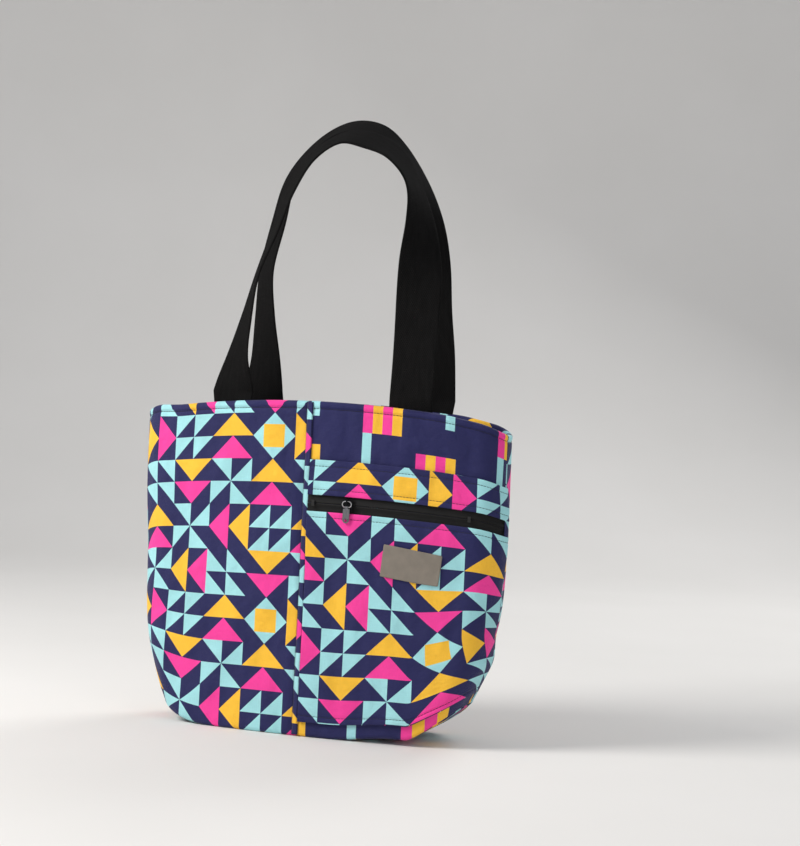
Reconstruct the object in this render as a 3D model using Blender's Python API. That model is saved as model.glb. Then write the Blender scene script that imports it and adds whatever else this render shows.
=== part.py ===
"""A cotton tote bag with boxed corners, two webbing straps and a zipped slip pocket on its front.

The bag stands on its flat base at z = 0. Its front faces -Y and its width runs along X. Every wall
is a stack of thin sheets set off from one bag surface. At each height that surface is an oval of
arcs whose front lies in a plane tilted about X, so the rim, pocket and zip droop to the sides in
true circular arcs, and the zip's slider turns about the centre of its arc.
"""

from math import atan2, cos, degrees, exp, hypot, pi, radians, sin, sqrt

import bmesh
import bpy
from mathutils import Matrix, Vector

MM = 0.001

# Bag surface: half sizes of the base and of the rim, and the arcs of their outlines
BASE_HALF_LENGTH = 134 * MM
BASE_HALF_DEPTH = 50 * MM
RIM_HALF_LENGTH = 168 * MM
RIM_HALF_DEPTH = 47 * MM
BAG_HEIGHT = 287 * MM
BASE_FRONT_RADIUS = 900 * MM
RIM_FRONT_RADIUS = 490 * MM
BASE_SIDE_RADIUS = 110 * MM
RIM_SIDE_RADIUS = 46 * MM
BASE_CORNER_RADIUS = 30 * MM
RIM_CORNER_RADIUS = 30 * MM
RIM_TILT = radians(29)
EASE_LENGTH = 28 * MM
BASE_FLAT_LEFT = 80 * MM
BASE_LIFT_LEFT = 16 * MM
EASY_START = 30 * MM
EASY_END = 90 * MM
EASY_LIFT = 5 * MM
BASE_FOLD = 100 * MM
BASE_LIFT_RIGHT = 29 * MM
FOLD_POWER = 1.2
FLARE_POWER = 4.5
TILT_POWER = 0.6
SLUMP_POWER = 1.8
SLUMP_TOP_SHARE = 0.62
# How far the hanging bag is out of true
SIDE_PRESS = 5 * MM
CORNER_SAG = 7 * MM
RIM_RISE_LEFT = 3.5 * MM
RIM_FALL_RIGHT = 2.5 * MM

# Layers of the wall, from the outside in, with the clearance between sheets
GAP = 0.3 * MM
LAYER_GAP = 0.5 * MM
COTTON = 1.0 * MM
FOAM = 2.5 * MM
WEBBING = 2.0 * MM
LINING = 0.8 * MM
BASE_COTTON = 1.2 * MM
BASE_FOAM = 3.0 * MM
SEAM_GAP = 0.4 * MM
FACING_DEPTH = 45 * MM
FOAM_TOP_DROP = 4 * MM

# Pocket and zip on the right half of the front
STRIP_WIDTH = 4.2 * MM
STRIP_THICKNESS = 0.8 * MM
POCKET_TOP_DROP = 50 * MM
POCKET_FOOT_HEIGHT = 13 * MM
POCKET_COTTON = 0.9 * MM
BACKING = 0.6 * MM
ZIP_DROP = 87 * MM
ZIP_SLOT = 14 * MM
TAPE_WIDTH = 13 * MM
TAPE = 0.5 * MM
COIL_WIDTH = 1.6 * MM
COIL_HEIGHT = 1.0 * MM
LIFT_FADE = 45 * MM
STOP_LENGTH = 2.5 * MM
STOP_HEIGHT = 5 * MM
STOP_THICKNESS = 0.9 * MM
STOP_INSET = 4 * MM

# Slider, its ring and its pull tab
SLIDER_LENGTH = 9 * MM
SLIDER_HEIGHT = 11 * MM
SLIDER_THICKNESS = 1.2 * MM
SLIDER_NOSE_SHARE = 0.5
SLIDER_PLACE = 41 * MM
CROWN_WIDTH = 1.2 * MM
CROWN_WINDOW = 2.4 * MM
CROWN_POST = 0.8 * MM
CROWN_RAISE = 3.4 * MM
RING_WIDTH = 8.8 * MM
RING_HEIGHT = 5.8 * MM
RING_WIRE = 0.8 * MM
TAB_WIDTH = 5.8 * MM
TAB_LENGTH = 13.5 * MM
TAB_THICKNESS = 1.0 * MM
TAB_HOLE = 2.6 * MM
TAB_HOLE_RIM = 1.0 * MM
BARREL_WIDTH = 3.0 * MM
BARREL_WALL = 0.35 * MM
BARREL_WRAP = radians(60)
RUNNING_GAP = 0.3 * MM

# Label on the pocket
LABEL_WIDTH = 50 * MM
LABEL_HEIGHT = 28 * MM
LABEL_THICKNESS = 1.2 * MM
LABEL_FROM_SEAM = 96 * MM
LABEL_BELOW_ZIP = 48 * MM

# Straps: webbing width, where their ends leave the rim, and the shape of the loops
STRAP_WIDTH = 38 * MM
STRAP_LEFT_PLACE = -76 * MM
STRAP_RIGHT_PLACE = 90 * MM
STRAP_TUCK = 40 * MM
HINGE_RISE = 9 * MM
HINGE_GAP = 0.9 * MM
STRAP_RISE = 234 * MM
STRAP_TOP_SPACE = 1.4 * MM
SHOULDER_SLOPE = radians(25)
STRAP_SAMPLES = 44
# Each row: across (-1 left end, 1 right end), up, lean to the middle, twist (1 flat on a shoulder)
FRONT_STRAP_SHARES = (
    (-1.00, 0.00, 0.00, 0.00),
    (-0.985, 0.13, 0.12, 0.58),
    (-0.915, 0.29, 0.30, 0.84),
    (-0.83, 0.46, 0.52, 0.98),
    (-0.66, 0.64, 0.72, 0.92),
    (-0.52, 0.80, 0.88, 0.86),
    (-0.28, 0.93, 1.00, 0.94),
    (0.06, 1.00, 1.00, 1.00),
    (0.40, 0.98, 1.00, 1.00),
    (0.68, 0.92, 0.92, 1.16),
    (0.88, 0.81, 0.84, 1.30),
    (0.97, 0.67, 0.72, 1.02),
    (1.00, 0.50, 0.52, 0.50),
    (1.01, 0.33, 0.32, 0.16),
    (1.01, 0.16, 0.13, 0.03),
    (1.00, 0.00, 0.00, 0.00),
)
BACK_STRAP_SHARES = (
    (-1.00, 0.00, 0.00, 0.00),
    (-0.985, 0.13, 0.12, 0.38),
    (-1.00, 0.29, 0.30, 0.63),
    (-0.985, 0.46, 0.52, 0.76),
    (-0.85, 0.64, 0.72, 0.76),
    (-0.71, 0.80, 0.88, 0.84),
    (-0.42, 0.925, 1.00, 0.96),
    (-0.08, 0.99, 1.00, 1.00),
    (0.24, 0.98, 1.00, 1.00),
    (0.50, 0.92, 0.92, 1.16),
    (0.76, 0.81, 0.84, 1.30),
    (0.88, 0.67, 0.72, 1.02),
    (0.91, 0.50, 0.52, 0.50),
    (0.93, 0.33, 0.32, 0.16),
    (0.98, 0.16, 0.13, 0.03),
    (1.00, 0.00, 0.00, 0.00),
)

# How finely the outline and the heights are divided
FRONT_STEPS = 7
CORNER_STEPS = 4
SIDE_STEPS = 2
COLUMN_MARGIN = 2 * MM
STRAP_END_COLUMNS = 5
ROUND_STEPS = 12
WIRE_SIDES = 8
SHARP_EDGE = radians(35)
LEVEL_SHARES = (0.0, 0.10, 0.20, 0.34, 0.50, 0.62, 0.73, 0.92, 1.0)

COLOURS = {
    "print": (0.12, 0.35, 0.42, 0.75, 0.0),
    "navy": (0.035, 0.035, 0.12, 0.75, 0.0),
    "foam": (0.75, 0.75, 0.72, 0.9, 0.0),
    "lining": (0.06, 0.06, 0.16, 0.8, 0.0),
    "webbing": (0.012, 0.012, 0.012, 0.85, 0.0),
    "tape": (0.015, 0.015, 0.014, 0.8, 0.0),
    "coil": (0.01, 0.01, 0.01, 0.5, 0.0),
    "steel": (0.55, 0.55, 0.55, 0.3, 1.0),
    "gunmetal": (0.12, 0.12, 0.13, 0.35, 1.0),
    "label": (0.22, 0.19, 0.16, 0.6, 0.0),
}


def clear_scene():
    """Remove whatever the file holds."""
    for thing in list(bpy.data.objects):
        bpy.data.objects.remove(thing, do_unlink=True)


def material(name):
    """The named material, made on first use."""
    found = bpy.data.materials.get(name)
    if found:
        return found
    made = bpy.data.materials.new(name)
    made.use_nodes = True
    red, green, blue, roughness, metallic = COLOURS[name]
    shader = made.node_tree.nodes["Principled BSDF"]
    shader.inputs["Base Color"].default_value = (red, green, blue, 1.0)
    shader.inputs["Roughness"].default_value = roughness
    shader.inputs["Metallic"].default_value = metallic
    return made


def add_object(name, mesh, finish, parent=None):
    """Put a mesh in the scene as one named piece."""
    piece = bpy.data.objects.new(name, mesh)
    bpy.context.scene.collection.objects.link(piece)
    mesh.materials.append(material(finish))
    if parent:
        piece.parent = parent
    return piece


def add_pivot(name, frame, parent=None):
    """An empty on a joint's axis, which carries the pieces that turn there."""
    pivot = bpy.data.objects.new(name, None)
    bpy.context.scene.collection.objects.link(pivot)
    pivot.parent = parent
    bpy.context.view_layer.update()
    pivot.matrix_world = frame
    bpy.context.view_layer.update()
    return pivot


def mesh_from(name, points, faces):
    """A mesh with its faces turned outwards."""
    mesh = bpy.data.meshes.new(name)
    work = bmesh.new()
    corners = [work.verts.new(point) for point in points]
    for face in faces:
        work.faces.new([corners[index] for index in face])
    bmesh.ops.recalc_face_normals(work, faces=work.faces)
    work.to_mesh(mesh)
    work.free()
    mesh.shade_smooth()
    mesh.set_sharp_from_angle(angle=SHARP_EDGE)
    return mesh


def mix(low, high, share):
    """A value part of the way from low to high."""
    return low + (high - low) * share


def smooth(share):
    """A share from 0 to 1 that starts and ends gently."""
    share = min(max(share, 0), 1)
    return share * share * (3 - 2 * share)


class Level:
    """The outline of the bag surface at one share of its height."""

    def __init__(self, share):
        self.share = share
        self.height = mix(WALL_FOOT, BAG_HEIGHT, share)
        self.slump = max(1 - share / SLUMP_TOP_SHARE, 0) ** SLUMP_POWER
        flare = 1 - max(1 - share, 0) ** FLARE_POWER
        self.half_length = mix(BASE_HALF_LENGTH, RIM_HALF_LENGTH, flare)
        self.half_depth = mix(BASE_HALF_DEPTH, RIM_HALF_DEPTH, share)
        self.tilt = RIM_TILT * max(share, 0) ** TILT_POWER
        self.front_radius = mix(BASE_FRONT_RADIUS, RIM_FRONT_RADIUS, share)
        side_ratio = RIM_SIDE_RADIUS / BASE_SIDE_RADIUS
        self.side_radius = BASE_SIDE_RADIUS * side_ratio ** share
        self.corner_radius = mix(BASE_CORNER_RADIUS, RIM_CORNER_RADIUS, share)
        self.reach = self.half_depth / cos(self.tilt)
        self.set_corner()

    def set_corner(self):
        """Find the corner arc that touches the front arc and the side arc from inside."""
        front_y = self.front_radius - self.reach
        side_x = self.half_length - self.side_radius
        to_front = self.front_radius - self.corner_radius
        to_side = self.side_radius - self.corner_radius
        apart = hypot(side_x, front_y)
        along = (to_front ** 2 - to_side ** 2 + apart ** 2) / (2 * apart)
        across = sqrt(max(to_front ** 2 - along ** 2, 0))
        run_x = side_x / apart
        run_y = -front_y / apart
        self.corner_x = along * run_x - across * run_y
        self.corner_y = front_y + along * run_y + across * run_x
        self.front_y = front_y
        self.side_x = side_x
        self.front_angle = atan2(self.corner_x, front_y - self.corner_y)
        self.side_angle = atan2(self.corner_x - side_x, -self.corner_y)
        self.front_run = self.front_radius * self.front_angle
        self.corner_run = self.corner_radius * (self.side_angle - self.front_angle)
        self.side_run = self.side_radius * (pi / 2 - self.side_angle)
        self.half_run = self.front_run + self.corner_run + self.side_run

    def place(self, run):
        """Point and outward normal in the tilted plane, a run along the front from its middle."""
        side = 1 if run >= 0 else -1
        run = abs(run)
        if run <= self.front_run:
            angle = run / self.front_radius
            centre = (0, self.front_y)
            radius = self.front_radius
        elif run <= self.front_run + self.corner_run:
            angle = self.front_angle + (run - self.front_run) / self.corner_radius
            centre = (self.corner_x, self.corner_y)
            radius = self.corner_radius
        else:
            past = run - self.front_run - self.corner_run
            angle = self.side_angle + past / self.side_radius
            centre = (self.side_x, 0)
            radius = self.side_radius
        point = (side * (centre[0] + radius * sin(angle)), centre[1] - radius * cos(angle))
        return point, (side * sin(angle), -cos(angle))

    def steps(self):
        """Runs at which the outline is divided, from its middle to its side seam."""
        front = [self.front_run * step / FRONT_STEPS for step in range(FRONT_STEPS)]
        corner = [self.front_run + self.corner_run * step / CORNER_STEPS for step in range(CORNER_STEPS)]
        start = self.front_run + self.corner_run
        side = [start + self.side_run * step / SIDE_STEPS for step in range(SIDE_STEPS + 1)]
        return front + corner + side


def end_lift(x):
    """How far the base's soft ends rise: the left one, and the right one past its fold."""
    if x <= 0:
        return BASE_LIFT_LEFT * (max(-x - BASE_FLAT_LEFT, 0) / (BASE_HALF_LENGTH - BASE_FLAT_LEFT)) ** 2
    easy = EASY_LIFT * smooth((x - EASY_START) / (EASY_END - EASY_START))
    past = max(x - BASE_FOLD, 0) / (BASE_HALF_LENGTH - BASE_FOLD)
    return easy + BASE_LIFT_RIGHT * past ** FOLD_POWER


def askew(point, share):
    """The place of a point of the straight bag on the hanging one, whose ends are out of true."""
    x, y, z = point
    left_end = smooth((-x - 100 * MM) / (50 * MM))
    right_end = smooth((x - 95 * MM) / (40 * MM))
    high = smooth((share - 0.75) / 0.25)
    z += RIM_RISE_LEFT * high * smooth((-x - 120 * MM) / (45 * MM))
    z -= RIM_FALL_RIGHT * high * smooth((x - 110 * MM) / (50 * MM))
    x += SIDE_PRESS * left_end * exp(-((share - 0.5) / 0.26) ** 2)
    x += CORNER_SAG * right_end * (1 - smooth((share - 0.12) / 0.18))
    return Vector((x, y, z))


def straight(level, run, offset, facing=-1):
    """A point set off outwards from the surface of the straight bag. facing is 1 at the back."""
    (across, inward), (normal_x, normal_y) = level.place(run)
    travel = inward + level.reach
    ease = min(EASE_LENGTH, level.reach)
    start = level.reach - ease
    if travel > start:
        past = travel - start
        travel = start + past - past ** 2 / (2 * ease)
    drop = sin(level.tilt) * travel
    x = across + normal_x * offset
    y = cos(level.tilt) * inward + normal_y * offset
    z = level.height - drop + end_lift(across) * level.slump
    return Vector((x, -facing * y, z))


def surface(level, run, offset, facing=-1):
    """A point set off outwards from the bag surface. facing is -1 at the front, 1 at the back."""
    return askew(straight(level, run, offset, facing), level.share)


def share_at(height):
    """The share of the wall's height at a height above the ground, at the middle of the front."""
    return (height - WALL_FOOT) / (BAG_HEIGHT - WALL_FOOT)


WALL_FOOT = BASE_COTTON + GAP
LINING_FOOT = share_at(WALL_FOOT + BASE_FOAM + LINING + 2 * GAP + 2 * LAYER_GAP)
POCKET_FOOT = share_at(POCKET_FOOT_HEIGHT)
POCKET_TOP = share_at(BAG_HEIGHT - POCKET_TOP_DROP)
FACING_FOOT = share_at(BAG_HEIGHT - FACING_DEPTH)
FOAM_TOP = share_at(BAG_HEIGHT - FOAM_TOP_DROP)


def levels_between(low, high):
    """The levels that every sheet shares between two shares, with both ends."""
    least = GAP / BAG_HEIGHT
    shared = sorted(set(LEVEL_SHARES) | {LINING_FOOT, POCKET_FOOT, POCKET_TOP, FACING_FOOT, FOAM_TOP})
    inner = [share for share in shared if low + least < share < high - least]
    return [low] + inner + [high]


def place_run(level, place):
    """The run of a place at one level: a run in metres, or left or right for a side seam."""
    if place == "left":
        return -level.half_run + SEAM_GAP / 2
    if place == "right":
        return level.half_run - SEAM_GAP / 2
    return place


def both_sides(level):
    """The standard runs of a level, from its left side seam to its right one."""
    steps = level.steps()
    return [-run for run in reversed(steps[1:])] + steps


def column_runs(level, start, end, pattern):
    """Runs along one level that follow the shared pattern of columns."""
    every = both_sides(level)
    return [place_run(level, start)] + [every[index] for index in pattern] + [place_run(level, end)]


def shared_columns(start, end):
    """Indexes of the standard columns that lie between both places at every level of the bag."""
    low_margin = SEAM_GAP if start == "left" else COLUMN_MARGIN
    high_margin = SEAM_GAP if end == "right" else COLUMN_MARGIN
    kept = None
    for share in levels_between(0, 1):
        level = Level(share)
        low = place_run(level, start) + low_margin
        high = place_run(level, end) - high_margin
        inside = {index for index, run in enumerate(both_sides(level)) if low < run < high}
        kept = inside if kept is None else kept & inside
    return sorted(kept)


def sheet(name, finish, shares, start, end, inner, outer, facing=-1):
    """A closed sheet of cloth between two offsets of the bag surface.

    inner and outer are offsets, or functions of the level's share that give them.
    """
    levels = [Level(share) for share in shares]
    pattern = shared_columns(start, end)
    points = []
    for offset in (outer, inner):
        for share, level in zip(shares, levels):
            off = offset(share) if callable(offset) else offset
            for run in column_runs(level, start, end, pattern):
                points.append(surface(level, run, off, facing))
    width = len(pattern) + 2
    return add_object(name, mesh_from(name, points, slab_faces(len(shares), width)), finish)


def slab_faces(rows, width):
    """Faces of a slab whose two sides are grids of rows by width points.

    Every square is cut along the same diagonal, so neighbouring layers stay parallel.
    """
    back = rows * width
    faces = []
    for row in range(rows - 1):
        for column in range(width - 1):
            corner = row * width + column
            lower = (corner, corner + 1, corner + width + 1)
            upper = (corner, corner + width + 1, corner + width)
            for half in (lower, upper):
                faces.append(half)
                faces.append(tuple(back + index for index in reversed(half)))
    edge = [column for column in range(width)]
    edge += [row * width + width - 1 for row in range(1, rows)]
    edge += [(rows - 1) * width + column for column in range(width - 2, -1, -1)]
    edge += [row * width for row in range(rows - 2, 0, -1)]
    for here, after in zip(edge, edge[1:] + edge[:1]):
        faces.append((after, here, here + back, after + back))
    return faces


def plate(name, finish, inset, low, high):
    """A layer of the base, inside the bag surface's foot: flat, with slightly raised ends."""
    level = Level(0)
    steps = level.steps()
    stations = [-run for run in reversed(steps[1:])] + steps
    stations = stations[1:-1]
    points = []
    for height in (low, high):
        for run in stations:
            front = straight(level, run, -inset)
            front.z = height + end_lift(front.x)
            front = askew(front, level.share)
            points.append(front)
            points.append((front.x, -front.y, front.z))
    add_object(name, mesh_from(name, points, slab_faces(len(stations), 2)), finish)


def make_walls():
    """The outer panels, the foam, the lining and the facing inside the rim."""
    whole = levels_between(0, 1)
    foam_out = -(COTTON + LAYER_GAP)
    foam_in = foam_out - FOAM
    lining_out = foam_in - WEBBING - 2 * LAYER_GAP
    lining_in = lining_out - LINING
    half_seam = SEAM_GAP / 2
    sheet("outer_front_left", "print", whole, "left", -half_seam, -COTTON, 0)
    sheet("outer_front_right", "navy", whole, half_seam, "right", -COTTON, 0)
    sheet("outer_back", "print", whole, "left", "right", -COTTON, 0, 1)
    foam_levels = levels_between(0, FOAM_TOP)
    lining_top = FACING_FOOT - GAP / BAG_HEIGHT
    for side, facing in (("front", -1), ("back", 1)):
        sheet("foam_" + side, "foam", foam_levels, "left", "right", foam_in, foam_out, facing)
        sheet("lining_" + side, "lining", levels_between(LINING_FOOT, lining_top),
              "left", "right", lining_in, lining_out, facing)
        sheet("rim_facing_" + side, "lining", levels_between(FACING_FOOT, 1),
              "left", "right", lining_in, lining_out, facing)
    plate("outer_base", "print", 0, 0, BASE_COTTON)
    inner = -foam_in + GAP
    plate("foam_base", "foam", inner, WALL_FOOT, WALL_FOOT + BASE_FOAM)
    lining_low = WALL_FOOT + BASE_FOAM + GAP
    plate("lining_base", "lining", inner, lining_low, lining_low + LINING)


ZIP_HEIGHT = BAG_HEIGHT - ZIP_DROP
POCKET_START = SEAM_GAP + STRIP_WIDTH + 2 * GAP
COIL_IN = LAYER_GAP + BACKING + LAYER_GAP
TAPE_IN = COIL_IN + COIL_HEIGHT + GAP
TAPE_OUT = TAPE_IN + TAPE
POCKET_IN = TAPE_OUT + LAYER_GAP
POCKET_LOW = LAYER_GAP + BACKING + LAYER_GAP


def pocket_lift(share):
    """Offset of the pocket's inner face: out over the zip, in at the pocket's top and foot."""
    height = mix(WALL_FOOT, BAG_HEIGHT, share)
    edge = ZIP_SLOT / 2 + TAPE_WIDTH / 2
    past = abs(height - ZIP_HEIGHT) - edge
    room = BAG_HEIGHT - POCKET_TOP_DROP - ZIP_HEIGHT - edge if height > ZIP_HEIGHT else LIFT_FADE
    fade = min(max(past / room, 0), 1)
    return mix(POCKET_IN, POCKET_LOW, fade)


def pocket_cover(share):
    """Offset of the pocket's outer face."""
    return pocket_lift(share) + POCKET_COTTON


def make_pocket():
    """The pocket's backing, its two printed panels, the zip's tapes and coils, and the label."""
    foot = POCKET_FOOT
    top = POCKET_TOP
    strip_in = GAP
    strip_end = SEAM_GAP + STRIP_WIDTH
    sheet("centre_seam_strip", "print", levels_between(0, 1), SEAM_GAP, strip_end,
          strip_in, strip_in + STRIP_THICKNESS)
    ends = (POCKET_START, "right")
    sheet("pocket_backing", "navy", levels_between(foot, top), *ends,
          LAYER_GAP, LAYER_GAP + BACKING)
    slot_low = share_at(ZIP_HEIGHT - ZIP_SLOT / 2)
    slot_high = share_at(ZIP_HEIGHT + ZIP_SLOT / 2)
    fade_low = share_at(ZIP_HEIGHT - ZIP_SLOT / 2 - TAPE_WIDTH / 2)
    fade_foot = share_at(ZIP_HEIGHT - ZIP_SLOT / 2 - TAPE_WIDTH / 2 - LIFT_FADE)
    panel_levels = sorted(set(levels_between(foot, slot_low)) | {fade_low, fade_foot})
    sheet("pocket_panel", "print", panel_levels, *ends, pocket_lift, pocket_cover)
    band_levels = [slot_high, share_at(ZIP_HEIGHT + ZIP_SLOT / 2 + TAPE_WIDTH / 2), top]
    sheet("pocket_top_band", "print", band_levels, *ends, pocket_lift, pocket_cover)
    make_zip_tapes(ends)
    label_foot = share_at(ZIP_HEIGHT - LABEL_BELOW_ZIP - LABEL_HEIGHT / 2)
    label_top = share_at(ZIP_HEIGHT - LABEL_BELOW_ZIP + LABEL_HEIGHT / 2)
    sheet("label_patch", "label", levels_between(label_foot, label_top),
          LABEL_FROM_SEAM - LABEL_WIDTH / 2, LABEL_FROM_SEAM + LABEL_WIDTH / 2,
          lambda share: pocket_cover(share) + GAP,
          lambda share: pocket_cover(share) + GAP + LABEL_THICKNESS)


def zip_share(rise):
    """The share of the wall's height at a rise above the zip's centre line."""
    return share_at(ZIP_HEIGHT + rise)


def make_zip_tapes(ends):
    """Two tapes with a coil behind each, and a stop at each end."""
    middle = GAP / 2
    for side, sign in (("upper", 1), ("lower", -1)):
        tape = sorted((zip_share(sign * middle), zip_share(sign * TAPE_WIDTH)))
        coil = sorted((zip_share(sign * middle), zip_share(sign * COIL_WIDTH)))
        sheet("zip_tape_" + side, "tape", tape, *ends, TAPE_IN, TAPE_OUT)
        sheet("zip_coil_" + side, "coil", coil, *ends, COIL_IN, COIL_IN + COIL_HEIGHT)
    stop_rows = [zip_share(-STOP_HEIGHT / 2), zip_share(STOP_HEIGHT / 2)]
    level = Level(zip_share(0))
    left = POCKET_START + STOP_INSET
    right = slider_limits(level)[1] + SLIDER_LENGTH / 2 + GAP
    for name, start in (("zip_stop_left", left), ("zip_stop_right", right)):
        sheet(name, "coil", stop_rows, start, start + STOP_LENGTH,
              TAPE_OUT + GAP, TAPE_OUT + GAP + STOP_THICKNESS)


def slider_limits(level):
    """Runs of the slider's centre at both ends of its travel."""
    low = POCKET_START + STOP_INSET + STOP_LENGTH + GAP + SLIDER_LENGTH / 2
    high = level.front_run - SLIDER_LENGTH / 2 - STOP_LENGTH
    return low, high


def zip_frame():
    """The slider's frame: x along the zip, y into the bag, z up the wall, at the tapes' face."""
    level = Level(zip_share(0))
    here = surface(level, SLIDER_PLACE, TAPE_OUT)
    above = surface(Level(zip_share(SLIDER_HEIGHT / 2)), SLIDER_PLACE, TAPE_OUT)
    below = surface(Level(zip_share(-SLIDER_HEIGHT / 2)), SLIDER_PLACE, TAPE_OUT)
    ahead = surface(level, SLIDER_PLACE + SLIDER_LENGTH / 2, TAPE_OUT)
    behind = surface(level, SLIDER_PLACE - SLIDER_LENGTH / 2, TAPE_OUT)
    along = (ahead - behind).normalized()
    up = (above - below).normalized()
    inward = up.cross(along).normalized()
    up = along.cross(inward).normalized()
    frame = Matrix((along, inward, up)).transposed().to_4x4()
    frame.translation = here
    return frame


def zip_axis():
    """Centre and direction of the circle that the slider follows."""
    level = Level(zip_share(0))
    centre = surface(level, 0, 0) + level.front_radius * Vector((0, cos(level.tilt), -sin(level.tilt)))
    return centre, Vector((0, sin(level.tilt), cos(level.tilt)))


def extrude_outline(outline, low, high, axes):
    """A prism over an outline of (a, b) points. axes turns (a, b, depth) into a point."""
    count = len(outline)
    points = [axes(a, b, low) for a, b in outline] + [axes(a, b, high) for a, b in outline]
    faces = [tuple(range(count)), tuple(range(count, 2 * count))]
    for here in range(count):
        after = (here + 1) % count
        faces.append((here, after, after + count, here + count))
    return points, faces


def face_prism(name, outline, low, high):
    """A prism whose outline lies in the face plane, from low to high in front of it."""
    return mesh_from(name, *extrude_outline(outline, low, high, lambda a, b, d: (a, -d, b)))


def side_prism(name, outline, half_width):
    """A prism along x whose outline gives (out, up) points."""
    return mesh_from(name, *extrude_outline(outline, -half_width, half_width, lambda a, b, d: (d, -a, b)))


def combine(piece, other_mesh, operation, parent):
    """Join a mesh to a piece, or cut the piece by it, with a Boolean modifier."""
    tool = bpy.data.objects.new(piece.name + "_" + other_mesh.name, other_mesh)
    bpy.context.scene.collection.objects.link(tool)
    tool.parent = parent
    tool.hide_render = True
    tool.display_type = "WIRE"
    change = piece.modifiers.new(tool.name, "BOOLEAN")
    change.operation = operation
    change.object = tool


def arc(centre, radius, start, end, steps):
    """Points on an arc, with both ends."""
    angles = [mix(start, end, step / steps) for step in range(steps + 1)]
    return [(centre[0] + radius * cos(angle), centre[1] + radius * sin(angle)) for angle in angles]


def make_slider(pivot):
    """The slider's plate with its crown, an arch that holds the ring."""
    base = RUNNING_GAP
    half_length = SLIDER_LENGTH / 2
    half_height = SLIDER_HEIGHT / 2
    nose = half_height * SLIDER_NOSE_SHARE
    taper = half_length * SLIDER_NOSE_SHARE
    outline = [(-half_length, -nose), (-taper, -half_height), (half_length, -half_height),
               (half_length, half_height), (-taper, half_height), (-half_length, nose)]
    piece = add_object("zip_slider", face_prism("zip_slider", outline, base, base + SLIDER_THICKNESS),
                       "gunmetal", pivot)
    low = CROWN_RAISE - CROWN_WINDOW / 2
    high = CROWN_RAISE + CROWN_WINDOW / 2
    foot = base + SLIDER_THICKNESS / 2
    top = ring_out() + RING_WIRE / 2 + RUNNING_GAP
    arch = [(foot, low - CROWN_POST), (foot, low), (top, low), (top, high), (foot, high),
            (foot, high + CROWN_POST), (top + CROWN_POST, high + CROWN_POST),
            (top + CROWN_POST, low - CROWN_POST)]
    combine(piece, side_prism("crown", arch, CROWN_WIDTH / 2), "UNION", pivot)


def ring_out():
    """How far the ring's centre line lies in front of the tapes' face."""
    barrel = RING_WIRE / 2 + RUNNING_GAP + BARREL_WALL
    return RUNNING_GAP + SLIDER_THICKNESS + RUNNING_GAP + barrel


def make_ring(pivot):
    """The flat wire ring, hung from its top bar at the pivot."""
    radius = (RING_HEIGHT - RING_WIRE) / 2
    half_bar = (RING_WIDTH - RING_WIRE) / 2 - radius
    middle = -radius
    left = arc((-half_bar, middle), radius, pi / 2, 3 * pi / 2, ROUND_STEPS // 2)
    right = arc((half_bar, middle), radius, -pi / 2, pi / 2, ROUND_STEPS // 2)
    path = left + right
    sides = WIRE_SIDES
    points = []
    for index, (x, z) in enumerate(path):
        centre_x = -half_bar if index < len(left) else half_bar
        out = Vector((x - centre_x, 0, z - middle)).normalized()
        for side in range(sides):
            angle = 2 * pi * (side + 1 / 2) / sides
            spoke = out * cos(angle) + Vector((0, 1, 0)) * sin(angle)
            points.append(Vector((x, 0, z)) + spoke * RING_WIRE / 2)
    faces = []
    for index in range(len(path)):
        after = (index + 1) % len(path)
        for side in range(sides):
            beside = (side + 1) % sides
            faces.append((index * sides + side, index * sides + beside,
                          after * sides + beside, after * sides + side))
    add_object("zip_ring", mesh_from("zip_ring", points, faces), "steel", pivot)


def make_pull(pivot):
    """The tab, with a barrel round the ring's lower bar and a hole near its foot."""
    bore = RING_WIRE / 2 + RUNNING_GAP
    outside = bore + BARREL_WALL
    half = TAB_WIDTH / 2
    foot_centre = -TAB_LENGTH + half
    top = -(outside + RUNNING_GAP)
    outline = arc((0, foot_centre), half, pi, 2 * pi, ROUND_STEPS) + [(half, top), (-half, top)]
    body = face_prism("zip_pull", outline, -TAB_THICKNESS / 2, TAB_THICKNESS / 2)
    piece = add_object("zip_pull", body, "gunmetal", pivot)
    round_part = arc((0, 0), outside, -BARREL_WRAP, pi + BARREL_WRAP, ROUND_STEPS)
    neck = [(-TAB_THICKNESS / 2, top - outside), (TAB_THICKNESS / 2, top - outside)]
    barrel = side_prism("barrel", round_part + neck, BARREL_WIDTH / 2)
    combine(piece, barrel, "UNION", pivot)
    round_bore = arc((0, 0), bore, 0, 2 * pi, ROUND_STEPS)[:-1]
    combine(piece, side_prism("bore", round_bore, TAB_WIDTH), "DIFFERENCE", pivot)
    hole_centre = (0, -TAB_LENGTH + TAB_HOLE_RIM + TAB_HOLE / 2)
    hole = arc(hole_centre, TAB_HOLE / 2, 0, 2 * pi, ROUND_STEPS)[:-1]
    combine(piece, face_prism("hole", hole, -TAB_THICKNESS, TAB_THICKNESS), "DIFFERENCE", pivot)


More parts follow.
